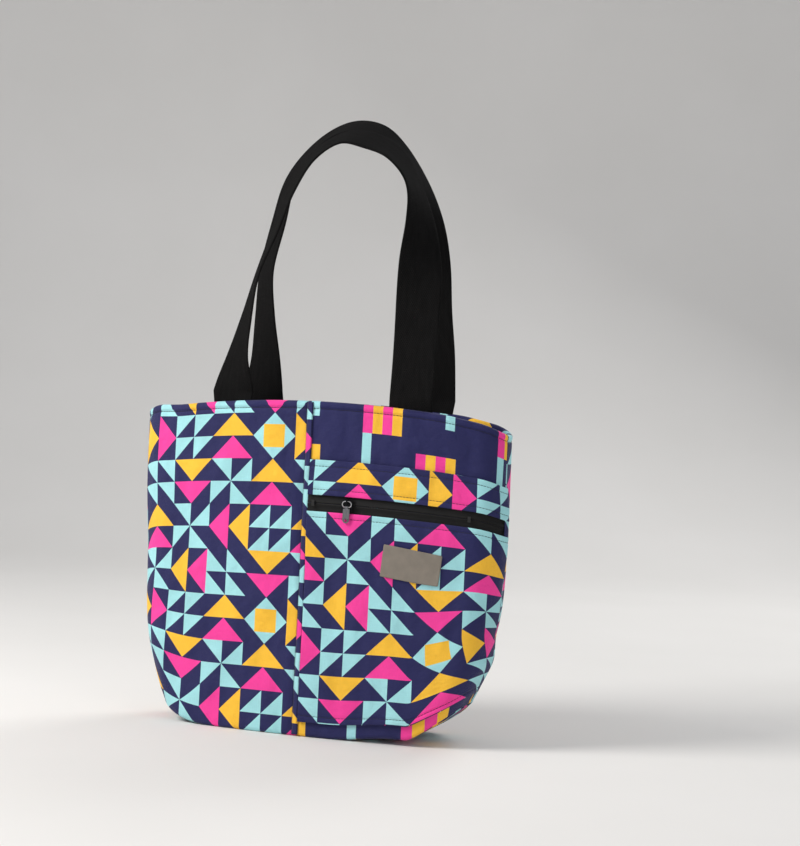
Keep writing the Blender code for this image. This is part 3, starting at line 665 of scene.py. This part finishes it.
def pocket_lift(share):
    """Offset of the pocket's inner face: out over the zip, in at the pocket's top and foot."""
    height = height_at(share)
    edge = ZIP_SLOT / 2 + TAPE_WIDTH / 2
    past = abs(height - ZIP_HEIGHT) - edge
    above = BAG_HEIGHT - POCKET_TOP_DROP - ZIP_HEIGHT - edge
    return mix(POCKET_IN, POCKET_LOW, smooth(past / (above if height > ZIP_HEIGHT else LIFT_FADE)))


def pocket_cover(share):
    return pocket_lift(share) + POCKET_COTTON


def tape_face(share):
    """Offset of a tape's face: a ridge where it folds over the coil, lower beside it."""
    beside = abs(height_at(share) - ZIP_HEIGHT)
    return TAPE_OUT - TAPE_RIDGE * grow(beside, 1.3 * MM, 1.4 * MM)


def tape_back(share):
    return tape_face(share) - (TAPE_OUT - TAPE_IN)


def label_plate():
    """The label, leaning a little, with rounded corners and a pressed border."""
    columns = stations(-LABEL_WIDTH / 2, LABEL_WIDTH / 2, LABEL_STEP)
    points = []
    uvs = []
    for side in (1, 0):
        for up in stations(-LABEL_HEIGHT / 2, LABEL_HEIGHT / 2, LABEL_STEP):
            for along in columns:
                past_x = abs(along) - (LABEL_WIDTH / 2 - LABEL_CORNER)
                past_y = abs(up) - (LABEL_HEIGHT / 2 - LABEL_CORNER)
                x, y = along, up
                if past_x > 0 and past_y > 0:
                    pull = 1 - max(past_x, past_y) / hypot(past_x, past_y)
                    x -= copysign(pull * past_x, along)
                    y -= copysign(pull * past_y, up)
                near = min(LABEL_WIDTH / 2 - abs(along), LABEL_HEIGHT / 2 - abs(up))
                half = LABEL_HALF_THICKNESS * rounding(near, 0.7 * MM)
                run = LABEL_RUN + x * cos(LABEL_LEAN) + y * sin(LABEL_LEAN)
                height = LABEL_PLACE + y * cos(LABEL_LEAN) - x * sin(LABEL_LEAN)
                share = share_at(height)
                off = pocket_cover(share) + LABEL_LIFT + (half if side else -half)
                off += relief(run, height, -1)
                if side:
                    off -= LABEL_GROOVE * bump_at(near - 1.7 * MM, 0.35 * MM)
                points.append(surface(level_at(share), run, off))
                uvs.append((x / MM, y / MM))
    return slab("label_plate", points, uvs, len(columns))


def coil(name, sign):
    """A nylon coil: loops of thread along one tape's edge."""
    low = POCKET_START + 1.5 * MM
    high = seam_run(level_at(share_at(ZIP_HEIGHT)), -1) - 2 * MM
    beside = sign * COIL_BESIDE
    level = level_at(share_at(ZIP_HEIGHT + beside))
    path = []
    for step in range(int((high - low) / COIL_PITCH) * COIL_STEPS + 1):
        turn = step / COIL_STEPS
        angle = 2 * pi * turn
        run = low + turn * COIL_PITCH
        off = COIL_IN + COIL_MIDDLE + COIL_DEPTH * sin(angle)
        point = surface(level, run, off + relief(run, ZIP_HEIGHT, -1))
        point.z += sign * (COIL_PLACE - COIL_REACH * cos(angle)) - beside
        path.append(point)
    points = []
    last = len(path) - 1
    for index, point in enumerate(path):
        ahead = (path[min(index + 1, last)] - path[max(index - 1, 0)]).normalized()
        first = ahead.orthogonal().normalized()
        second = ahead.cross(first)
        for side in range(COIL_SIDES):
            angle = 2 * pi * side / COIL_SIDES
            points.append(point + (first * cos(angle) + second * sin(angle)) * COIL_RADIUS)
    return new_object(name, points, tube_faces(0, len(path), COIL_SIDES))


# ---------------- straps

def smooth_route(facing):
    """Rows of a smooth curve through the strap's shares."""
    shares = [Vector(share) for share in zip(ACROSS_SHARES[facing], UP_SHARES[facing],
                                             LEAN_SHARES, TWIST_SHARES[facing])]
    ends = [shares[0], *shares, shares[-1]]
    spans = len(shares) - 1
    route = []
    for sample in range(LOOP_ROWS + 1):
        place = spans * sample / LOOP_ROWS
        span = min(int(place), spans - 1)
        t = place - span
        before, here, after, beyond = ends[span:span + 4]
        b = after - before
        c = 2 * before - 5 * here + 4 * after - beyond
        d = -before + 3 * here - 3 * after + beyond
        route.append((2 * here + b * t + c * t * t + d * t * t * t) / 2)
    return route


# Places across the webbing, as shares of its half width
ACROSS = (-1.0, -0.985, -0.93, -0.8, -0.6, -0.4, -0.2, 0.0, 0.2, 0.4, 0.6, 0.8, 0.93, 0.985, 1.0)
LOOP_ROWS = 150
SEWN_ROWS = 12
NECK_ROWS = 5


def webbing_half(across):
    """Half the webbing's thickness at a share of its half width, with rounded selvages."""
    edge = (1 - abs(across)) * STRAP_WIDTH / 2
    return WEBBING / 2 * (rounding(edge, 1.0 * MM) + 0.05 * bump_at(edge - 1.4 * MM, 0.9 * MM))


def sewn_rows(place, centre_x, direction, hinge, facing):
    """Rows of (outer, inner) points from a strap's sewn end up to its fold above the rim."""
    foot = share_at(BAG_HEIGHT - STRAP_TUCK)
    rows = []
    for index in range(SEWN_ROWS + 1):
        share = mix(foot, 1, index / SEWN_ROWS)
        level = level_at(share)
        row = []
        for across in ACROSS:
            run = place + across * direction * STRAP_WIDTH / 2
            off = relief(run, height_at(share), facing)
            half = webbing_half(across)
            row.append((surface(level, run, WEBBING_OFFSET + half + off, facing),
                        surface(level, run, WEBBING_OFFSET - half + off, facing)))
        rows.append(row)
    rim = rows[-1]
    for index in range(1, NECK_ROWS):
        row = []
        for across, (outer, inner) in zip(ACROSS, rim):
            x = centre_x + across * direction * STRAP_WIDTH / 2
            half = facing * webbing_half(across)
            row.append((outer.lerp(Vector((x, hinge.y + half, hinge.z)), index / NECK_ROWS),
                        inner.lerp(Vector((x, hinge.y - half, hinge.z)), index / NECK_ROWS)))
        rows.append(row)
    return rows


def strap(name, facing):
    """One strap from sewn end to sewn end, with the loop between them, and its fold's place."""
    left, right = (surface(level_at(1), place, WEBBING_OFFSET, facing) for place in STRAP_PLACES)
    hinge = Vector((0, (left.y + right.y) / 2, (left.z + right.z) / 2 + HINGE_RISE))
    half_spread = (right.x - left.x) / 2
    middle = (right.x + left.x) / 2
    apart = STRAP_WIDTH / 2 * cos(SHOULDER_SLOPE) + STRAP_TOP_SPACE / 2
    top_y = facing * apart
    rise = STRAP_RISE + facing * apart * sin(SHOULDER_SLOPE) / cos(SHOULDER_SLOPE)
    route = smooth_route(facing)
    centres = [Vector((middle + across * half_spread, mix(hinge.y, top_y, lean),
                       hinge.z + up * rise)) for across, up, lean, _ in route]
    last = len(centres) - 1
    rows = sewn_rows(STRAP_PLACES[0], left.x, -1, hinge, facing)
    for index, centre in enumerate(centres):
        ahead = centres[min(index + 1, last)] - centres[max(index - 1, 0)]
        ahead.y = 0
        ahead.normalize()
        if index in (0, last):
            ahead = Vector((0, 0, 1 if index == 0 else -1))
        angle = max(route[index][3], 0) * (pi / 2 - SHOULDER_SLOPE)
        wide = Vector((-ahead.z, 0, ahead.x)) * cos(angle) + Vector((0, 1, 0)) * sin(angle)
        thick = ahead.cross(wide) * -facing
        row = []
        for across in ACROSS:
            half = webbing_half(across)
            base = centre + wide * across * STRAP_WIDTH / 2
            row.append((base + thick * half, base - thick * half))
        rows.append(row)
    rows += reversed(sewn_rows(STRAP_PLACES[1], right.x, 1, hinge, facing))
    centre_line = [sum(row[len(ACROSS) // 2], Vector()) / 2 for row in rows]
    lengths = [0.0]
    for here, after in zip(centre_line, centre_line[1:]):
        lengths.append(lengths[-1] + (after - here).length)
    points = []
    uvs = []
    for side in (0, 1):
        for row, length in zip(rows, lengths):
            for across, pair in zip(ACROSS, row):
                points.append(pair[side])
                uvs.append((across * STRAP_WIDTH / 2 / MM, length / MM))
    return slab(name, points, uvs, len(ACROSS)), hinge


# ---------------- materials

def linear(red, green, blue):
    """A colour given in display values from 0 to 255."""
    parts = [part / 255 for part in (red, green, blue)]
    return (*(part / 12.92 if part <= 0.04045 else ((part + 0.055) / 1.055) ** 2.4
              for part in parts), 1.0)


def darker(colour, share):
    return (*(part * share for part in colour[:3]), 1.0)


NAVY = linear(33, 34, 84)
AQUA = linear(163, 222, 226)
PINK = linear(246, 62, 156)
YELLOW = linear(250, 193, 56)
THREAD = linear(24, 22, 46)


class Field:
    """A value in a material's node tree. Arithmetic on it adds math nodes."""

    def __init__(self, finish, socket):
        self.finish = finish
        self.socket = socket

    def of(self, operation, *others):
        return self.finish.math(operation, self, *others)

    def __rsub__(self, other):
        return self.finish.math("SUBTRACT", other, self)

    __add__ = partialmethod(of, "ADD")
    __sub__ = partialmethod(of, "SUBTRACT")
    __mul__ = partialmethod(of, "MULTIPLY")
    __truediv__ = partialmethod(of, "DIVIDE")
    __mod__ = partialmethod(of, "FLOORED_MODULO")
    __lt__ = partialmethod(of, "LESS_THAN")
    __gt__ = partialmethod(of, "GREATER_THAN")
    __abs__ = partialmethod(of, "ABSOLUTE")

    def wave(self, length):
        return (self * (2 * pi / length)).of("SINE")

    def pick(self, low, high):
        """Mixes two colours, from low at 0 to high at 1."""
        made = self.finish.node("ShaderNodeMix", self, data_type="RGBA")
        self.finish.feed(made, {6: low, 7: high})
        return self.finish.out(made, 2)

    def remap(self, low, high, start=0.3, end=0.7):
        """Low at the start value, high at the end value."""
        return self.finish.out(self.finish.node("ShaderNodeMapRange", self, start, end, low, high))


class Finish:
    """A material whose nodes are built by short calls."""

    def __init__(self, name, roughness, metallic=0.0):
        self.material = bpy.data.materials.new(name)
        self.material.use_nodes = True
        self.tree = self.material.node_tree
        self.shader = self.tree.nodes["Principled BSDF"]
        self.feed(self.shader, {"Roughness": roughness, "Metallic": metallic})

    def put(self, value, socket):
        if isinstance(value, Field):
            self.tree.links.new(value.socket, socket)
        elif isinstance(value, tuple):
            socket.default_value = value[:len(socket.default_value)]
        else:
            socket.default_value = value

    def node(self, kind, *values, **settings):
        """A new node with these settings, and these values in its first inputs."""
        made = self.tree.nodes.new(kind)
        for key, value in settings.items():
            setattr(made, key, value)
        for value, socket in zip(values, made.inputs):
            self.put(value, socket)
        return made

    def feed(self, node, values):
        """Puts values into inputs by name or number, but for None, and gives the first output."""
        for key, value in values.items():
            if value is not None:
                self.put(value, node.inputs[key])
        return self.out(node)

    def out(self, node, index=0):
        return Field(self, node.outputs[index])

    def math(self, operation, *values):
        return self.out(self.node("ShaderNodeMath", *values, operation=operation))

    def uv(self):
        """The cloth coordinates in millimetres: together, along and up."""
        source = self.out(self.node("ShaderNodeUVMap", uv_map="cloth"))
        split = self.node("ShaderNodeSeparateXYZ", source)
        return source, self.out(split), self.out(split, 1)

    def place(self):
        return Field(self, self.node("ShaderNodeTexCoord").outputs["Object"])

    def noise(self, vector, scale, detail=2.0, roughness=0.5, stretch=None):
        if stretch:
            vector = self.out(self.node("ShaderNodeVectorMath", vector, (*stretch, 1.0),
                                        operation="MULTIPLY"))
        return self.feed(self.node("ShaderNodeTexNoise"), {
            "Vector": vector, "Scale": scale, "Detail": detail, "Roughness": roughness})

    def bump(self, height, distance, strength=1.0, under=None):
        return self.feed(self.node("ShaderNodeBump"), {
            "Strength": strength, "Distance": distance, "Height": height, "Normal": under})

    def close(self, colour, normal=None, roughness=None, specular=None):
        self.feed(self.shader, {"Base Color": colour, "Normal": normal, "Roughness": roughness,
                                "Specular IOR Level": specular})
        return self.material


# The patchwork plan: each block has a kind (0 geese, 1 pinwheel, 2 economy square, 3 split
# square), a quarter turn, and a colour order (0 pink first, 1 yellow first)
PLAN = (
    ((0, 0, 0), (1, 0, 0), (0, 1, 1), (3, 0, 0)),
    ((3, 1, 0), (0, 2, 1), (1, 1, 0), (0, 0, 0)),
    ((0, 3, 1), (3, 2, 0), (0, 0, 0), (2, 0, 1)),
    ((1, 0, 0), (0, 1, 0), (3, 3, 0), (0, 2, 1)),
)
BLOCK = 40.0


def patchwork(u, v):
    """Colour of the quilt-like print at a place on the cloth."""
    finish = u.finish
    across = u / BLOCK
    up = v / BLOCK
    cell = (up.of("FLOOR") % 4 * 4 + across.of("FLOOR") % 4 + 0.5) / 16
    ramp = finish.node("ShaderNodeValToRGB", cell)
    ramp.color_ramp.interpolation = "CONSTANT"
    stops = ramp.color_ramp.elements
    while len(stops) < 16:
        stops.new(len(stops) / 16 * 0.5)
    for index, (kind, turn, order) in enumerate(cell for line in PLAN for cell in line):
        stops[index].position = index / 16
        stops[index].color = (kind / 4, turn / 4, order / 4, 1)
    split = finish.node("ShaderNodeSeparateColor", finish.out(ramp))
    kind, turn, order = (finish.out(split, index) for index in range(3))
    x = (across.of("FRACT") - 0.5) * 2
    y = (up.of("FRACT") - 0.5) * 2
    angle = turn * (2 * pi)
    cosine = angle.of("COSINE")
    sine = angle.of("SINE")
    x_turned = x * cosine + y * sine
    y_turned = y * cosine - x * sine
    # geese: two triangles, one above the other
    rise = y_turned + 1.0
    goose = abs(x_turned) < 1.0 - rise.of("FRACT")
    swap = abs((rise > 1.0) - (order > 0.1))
    geese = goose.pick(NAVY, swap.pick(PINK, YELLOW))
    # pinwheel: eight blades
    blade = (y_turned.of("ARCTAN2", x_turned) / (pi / 2)).of("FRACT")
    pinwheel = (blade < 0.5).pick(NAVY, AQUA)
    # economy square: a square on its point round a smaller one
    wide = abs(x)
    tall = abs(y)
    point = (wide + tall < 1.0).pick(NAVY, AQUA)
    economy = (wide.of("MAXIMUM", tall) < 0.5).pick(point, YELLOW)
    # split squares: four half squares in a row and column
    halves = rise.of("FRACT") < (x_turned + 1.0).of("FRACT")
    chosen = (kind > 0.4).pick((kind > 0.1).pick(geese, pinwheel), economy)
    return (kind > 0.6).pick(chosen, halves.pick(NAVY, AQUA))


STRIPE_ROW = 46.0
STRIPE_SHIFT = 47.0
STRIPE_REPEAT = 118.0
STRIPE_BLOCK = 34.0
STRIPE_PAIR = 17.0
BAR_START = 71.0
BAR_END = 79.0


def stripe_blocks(u, v):
    """Navy cloth with blocks of narrow stripes and aqua bars."""
    row = v / STRIPE_ROW
    within = row.of("FRACT")
    along = (u + row.of("FLOOR") * STRIPE_SHIFT) % STRIPE_REPEAT
    block = (along < STRIPE_BLOCK) * (within < 0.72)
    pink_stripe = (along / STRIPE_PAIR).of("FRACT") < 0.5
    bar = (along > BAR_START) * (along < BAR_END) * (within > 0.25)
    return bar.pick(block.pick(NAVY, pink_stripe.pick(YELLOW, PINK)), AQUA)


THREAD_PITCH = 0.42


def cotton(slot, pattern):
    """Slot and finish of quilting cotton: threads, slubs, fine creases and long soft folds."""
    finish = Finish(slot + "_finish", 0.72)
    source, u, v = finish.uv()
    threads = u.wave(THREAD_PITCH) * v.wave(THREAD_PITCH)
    slub_u = finish.noise(source, 1.0, 2, stretch=(0.15, 2.4))
    slub_v = finish.noise(source, 1.0, 2, stretch=(2.4, 0.15))
    normal = finish.bump(threads + (slub_u + slub_v) * 1.6, 0.06 * MM, 0.7)
    crease = finish.noise(source, 0.055, 4, 0.55)
    normal = finish.bump(crease, 2.7 * MM, 0.8, normal)
    fold = finish.noise(source, 1.0, 1, 0.4, stretch=(0.05, 0.022))
    normal = finish.bump(fold, 4.5 * MM, 1.0, normal)
    # Tone: random slubs and large soft patches, plus a faint painted shade that follows the thread
    # relief and darkens the colour where the weave is low
    tone = threads * 0.025 + ((slub_u + slub_v - 1.0) * 0.16 + 1.0)
    fade = finish.noise(source, 0.02, 3)
    tone = tone * fade.remap(0.95, 1.05)
    colour = pattern(u, v) if callable(pattern) else pattern
    toned = finish.feed(finish.node("ShaderNodeVectorMath", colour, operation="SCALE"),
                        {"Scale": tone})
    finish.feed(finish.shader, {"Sheen Weight": 0.08, "Sheen Roughness": 0.45})
    return slot, finish.close(toned, normal, slub_u.remap(0.64, 0.8), 0.3)


def speckled(name, roughness, scale, detail, low, high, depth=None, rough_range=None):
    """A finish speckled in its colour, and in its surface and roughness if given."""
    finish = Finish(name, roughness)
    speckle = finish.noise(finish.place(), scale, detail)
    normal = finish.bump(speckle, depth) if depth else None
    rough = speckle.remap(*rough_range) if rough_range else None
    return finish.close(speckle.pick(low, high), normal, rough)


WARP_WIDTH = 0.95
CORD_LENGTH = 3.0


def webbing_finish():
    """Black cotton webbing: heavy ribs across it with rows of warp along it."""
    finish = Finish("webbing_finish", 0.95)
    source, u, v = finish.uv()
    odd = (u / WARP_WIDTH).of("FLOOR") % 2
    cord = (odd * pi + v * (2 * pi / CORD_LENGTH)).of("SINE")
    height = cord * abs(u.wave(2 * WARP_WIDTH)) * 0.8 + v.wave(CORD_LENGTH / 2) * 0.25
    fuzz = finish.noise(source, 1.0, 4, 0.7, stretch=(2.2, 1.1))
    normal = finish.bump(height, 0.22 * MM, 0.8)
    normal = finish.bump(fuzz, 0.2 * MM, 0.5, normal)
    wide = finish.noise(source, 1.0, 3, stretch=(0.35, 0.05))
    # Colour: random streaks along the webbing, plus painted shade from the rib relief, darker in
    # the hollows between the ribs and lighter on their crests
    colour = (height * 0.12 + wide * 0.9).pick(linear(13, 13, 13), linear(29, 28, 28))
    return finish.close(colour, normal, specular=0.04)


def tape_finish():
    """Woven zip tape with fine cords along it."""
    finish = Finish("tape_finish", 0.6)
    source, u, v = finish.uv()
    normal = finish.bump(v.wave(0.9) + u.wave(0.55) * 0.5, 0.08 * MM, 0.8)
    shade = finish.noise(source, 1.0, 3, stretch=(0.05, 0.6))
    return finish.close(shade.pick(linear(5, 5, 5), linear(17, 16, 16)), normal, specular=0.25)


# Metal nodes with the name, colour and roughness of their finish
METAL_PIECES = (
    ("zip_ring", "plated_steel_finish", linear(232, 232, 232), 0.34),
    ("zip_pull", "gunmetal_finish", linear(138, 138, 142), 0.34),
    ("zip_slider", "dark_gunmetal_finish", linear(38, 38, 40), 0.4),
)


def metal_finish(name, colour, roughness):
    """Plated metal with fine streaks and small worn patches."""
    finish = Finish(name, roughness, 1.0)
    place = finish.place()
    wear = finish.noise(place, 700.0, 4, 0.6)
    streaks = finish.noise(place, 300.0, 2, stretch=(6, 6))
    rough = wear.remap(roughness * 0.75, roughness * 1.35)
    return finish.close(wear.pick(darker(colour, 0.8), colour),
                        finish.bump(streaks, 0.03 * MM, 0.4), rough)


def label_finish():
    """Matt imitation leather with a fine grain."""
    finish = Finish("label_finish", 0.55)
    source, _, _ = finish.uv()
    cells = finish.node("ShaderNodeTexVoronoi", feature="DISTANCE_TO_EDGE")
    grain = finish.feed(cells, {"Vector": source, "Scale": 1.3}).of("MINIMUM", 0.2)
    cloud = finish.noise(source, 0.12, 4)
    colour = cloud.pick(linear(112, 104, 94), linear(140, 131, 119))
    return finish.close(colour, finish.bump(grain, 0.6 * MM, 0.35), cloud.remap(0.48, 0.64))


# ---------------- the scene

SENSOR = 36

FLOOR_NEAR = (-3.0, -1.0, 0.6)
SWEEP_START = 1.6
SWEEP_RADIUS = 1.2
SWEEP_STEPS = 12
BACKDROP_TOP = 5.0
FLOOR_HALF_WIDTH = 5.0

# The lamps: name, place, aim, size, power and colour
LAMPS = (
    ("key", (-1.05, -0.9, 1.25), (0, 0, 0.28), 0.75, 27, (1.0, 0.98, 0.96)),
    ("fill", (1.8, -1.5, 0.9), (0, 0, 0.25), 1.4, 7.5, (1, 1, 1)),
    ("back", (0.6, 1.8, 1.6), (0, 0, 0.3), 1.2, 20, (1, 1, 1)),
)
WORLD_COLOUR = (0.93, 0.95, 1.0, 1)
WORLD_STRENGTH = 0.43


def place_camera():
    lens = bpy.data.cameras.new("camera")
    camera = add_to_scene("camera", lens)
    camera.matrix_world = (
        Matrix.Translation((0, 0, CAMERA_AIM)) @ Matrix.Rotation(CAMERA_AZIMUTH, 4, "Z")
        @ Matrix.Rotation(pi / 2 - CAMERA_ELEVATION, 4, "X") @ Matrix.Rotation(CAMERA_ROLL, 4, "Z")
        @ Matrix.Translation((0, 0, CAMERA_DISTANCE)))
    longer = max(PICTURE)
    lens.sensor_width = SENSOR
    lens.sensor_fit = "AUTO"
    lens.lens = FOCAL_PIXELS / longer * SENSOR
    lens.shift_x = (PICTURE[0] / 2 - CENTRE_PIXEL[0]) / longer
    lens.shift_y = -(PICTURE[1] / 2 - CENTRE_PIXEL[1]) / longer
    bpy.context.scene.camera = camera


def area_light(name, place, aim, size, power, colour):
    lamp = bpy.data.lights.new(name, "AREA")
    lamp.shape = "DISK"
    lamp.size = size
    lamp.energy = power
    lamp.color = colour
    holder = add_to_scene(name, lamp)
    holder.location = place
    holder.rotation_mode = "QUATERNION"
    holder.rotation_quaternion = (Vector(aim) - Vector(place)).to_track_quat("-Z", "Y")


def give(piece, finish):
    piece.data.materials.clear()
    piece.data.materials.append(finish)


def make_studio():
    """A pale floor that curves up into a backdrop, a soft world and three soft lamps."""
    profile = [(along, 0.0) for along in (*FLOOR_NEAR, SWEEP_START)]
    for index in range(1, SWEEP_STEPS + 1):
        angle = pi / 2 * index / SWEEP_STEPS
        profile.append((SWEEP_START + SWEEP_RADIUS * sin(angle), SWEEP_RADIUS * (1 - cos(angle))))
    profile.append((SWEEP_START + SWEEP_RADIUS, BACKDROP_TOP))
    turn = Matrix.Rotation(CAMERA_AZIMUTH, 3, "Z")
    points = [turn @ Vector((across, along, rise))
              for along, rise in profile for across in (-FLOOR_HALF_WIDTH, FLOOR_HALF_WIDTH)]
    faces = [(near, near + 1, near + 3, near + 2) for near in range(0, len(points) - 2, 2)]
    floor = new_object("floor", points, faces)
    give(floor, speckled("floor_finish", 0.85, 3.0, 3, linear(224, 222, 218),
                         linear(232, 230, 227)))
    world = bpy.data.worlds.new("studio")
    bpy.context.scene.world = world
    world.use_nodes = True
    background = world.node_tree.nodes["Background"]
    background.inputs[0].default_value = WORLD_COLOUR
    background.inputs[1].default_value = WORLD_STRENGTH
    for lamp in LAMPS:
        area_light(*lamp)


def own(piece, cover, *nodes):
    """Gives a piece of the bag its finish, attaches it to the bag and hides the nodes that it
    stands for.
    """
    slot, finish = cover
    give(piece, finish)
    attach(piece, "bag")
    if nodes:
        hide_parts(*nodes)


def sew(piece, thread):
    give(piece, thread)
    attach(piece, "bag")


def dress_walls(printed, navy, plain, foam):
    """The outer panels, the foam, the lining and the facing."""
    seam = SEAM_GAP / 2
    own(wall("panel_front_left", "left", -seam, -1, (10, 4)), printed, "outer_front_left")
    own(wall("panel_front_right", seam, "right", -1, (22, 13)), navy, "outer_front_right")
    own(wall("panel_back", "left", "right", 1, (3, 20)), printed, "outer_back")
    own(base_plate("panel_base", 3.0 * MM, 0.0, 1.2 * MM, (0, 40)), printed, "outer_base")
    facing_foot = BAG_HEIGHT - FACING_DEPTH
    top = BAG_HEIGHT - 5 * MM
    for side, facing in SIDES:
        pad = cloth("pad_" + side, WALL_FOOT + 3 * MM, top, FOAM_IN, FOAM_OUT, facing=facing,
                    step=6 * MM)
        own(pad, foam, "foam_" + side)
        own(cloth("inner_" + side, 6.4 * MM, facing_foot - 0.3 * MM, LINING_IN, LINING_OUT,
                  facing=facing, step=4 * MM), plain, "lining_" + side)
        own(cloth("band_" + side, facing_foot, top, LINING_IN, LINING_OUT, facing=facing,
                  seams=[facing_foot + 3 * MM]), plain, "rim_facing_" + side)
    base_pad = base_plate("pad_base", 4.3 * MM, 1.5 * MM, 4.5 * MM)
    own(base_pad, foam, "foam_base")
    own(base_plate("inner_base", 4.3 * MM, 4.8 * MM, 5.6 * MM), plain, "lining_base")


def dress_pocket(printed, navy, tape, coils, label, thread):
    """The strip beside the pocket, the pocket, its zip and label, and the stitches."""
    pocket_top = BAG_HEIGHT - POCKET_TOP_DROP
    slot_low = ZIP_HEIGHT - ZIP_SLOT / 2
    slot_high = ZIP_HEIGHT + ZIP_SLOT / 2
    top_line = pocket_top - 5.4 * MM
    foot_line = POCKET_FOOT_HEIGHT + 5.4 * MM
    above = slot_high + 4.9 * MM
    below = slot_low - 4.9 * MM
    own(cloth("seam_strip", WALL_FOOT, BAG_HEIGHT - 1 * MM, 0.3 * MM, 1.1 * MM, SEAM_GAP,
              STRIP_END, shift=(31, 9)), printed, "centre_seam_strip")
    own(cloth("pocket_lining", POCKET_FOOT_HEIGHT, pocket_top, 0.5 * MM, 1.1 * MM,
              POCKET_START, step=4 * MM, shift=(60, 30)), navy, "pocket_backing")
    own(cloth("pocket_front", POCKET_FOOT_HEIGHT, slot_low, pocket_lift, pocket_cover,
              POCKET_START, shift=(17, 26), seams=[foot_line, below]), printed, "pocket_panel")
    own(cloth("pocket_band", slot_high, pocket_top, pocket_lift, pocket_cover,
              POCKET_START, shift=(50, 41), seams=[above, top_line]), printed, "pocket_top_band")
    for side, sign in (("upper", 1), ("lower", -1)):
        low, high = sorted((ZIP_HEIGHT + sign * 0.15 * MM, ZIP_HEIGHT + sign * TAPE_WIDTH))
        own(cloth("tape_" + side, low, high, tape_back, tape_face, POCKET_START,
                  step=1.2 * MM), tape, "zip_tape_" + side)
        own(coil("coil_" + side, sign), coils, "zip_coil_" + side)
    own(label_plate(), label, "label_patch")
    tab_start = seam_run(level_at(share_at(ZIP_HEIGHT)), -1) - 7 * MM
    tab_in = TAPE_OUT + 0.4 * MM
    own(cloth("zip_end_tab", slot_low - 1 * MM, slot_high + 1 * MM, tab_in, tab_in + 0.7 * MM,
              tab_start, step=2 * MM, shift=(5, 12)), printed)
    for side, facing in SIDES:
        sew(row_stitches("rim_stitches_" + side, RIM_LINE, 0, facing=facing), thread)
    centre = [(CENTRE_LINE, height) for height in steps_between(6 * MM, BAG_HEIGHT - 8 * MM)]
    sew(stitches("centre_stitches", centre, 0, -1), thread)
    for name, line in (("pocket_top_stitches", top_line), ("pocket_foot_stitches", foot_line),
                       ("zip_stitches_upper", above), ("zip_stitches_lower", below)):
        sew(row_stitches(name, line, pocket_cover, POCKET_START + 2 * MM), thread)


def dress_straps(webbing):
    for side, facing in SIDES:
        piece, hinge = strap("webbing_" + side, facing)
        give(piece, webbing)
        node = "strap_" + side
        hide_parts(node, node + "_end_left", node + "_end_right")
        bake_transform(piece)


def main():
    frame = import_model()
    bpy.context.scene.view_settings.view_transform = "Standard"

    printed = cotton("printed_cotton", patchwork)
    navy = cotton("navy_cotton", stripe_blocks)
    plain = cotton("lining_cotton", linear(38, 36, 76))
    foam = speckled("foam_finish", 0.9, 900.0, 3, linear(215, 213, 205), linear(238, 236, 230),
                    0.4 * MM)
    coils = speckled("coil_finish", 0.38, 400.0, 3, linear(14, 14, 14), linear(34, 34, 33),
                     0.05 * MM, (0.3, 0.5))
    thread = speckled("thread_finish", 0.6, 2600.0, 2, darker(THREAD, 0.7), THREAD, 0.1 * MM)
    dress_walls(printed, navy, plain, ("foam", foam))
    dress_pocket(printed, navy, ("zip_tape", tape_finish()), ("zip_coil", coils),
                 ("label_leather", label_finish()), thread)
    dress_straps(webbing_finish())

    for node, name, colour, roughness in METAL_PIECES:
        give(frame["nodes"][node], metal_finish(name, colour, roughness))
    for node in ("zip_stop_left", "zip_stop_right"):
        give(frame["nodes"][node], coils)

    place_camera()
    make_studio()


main()
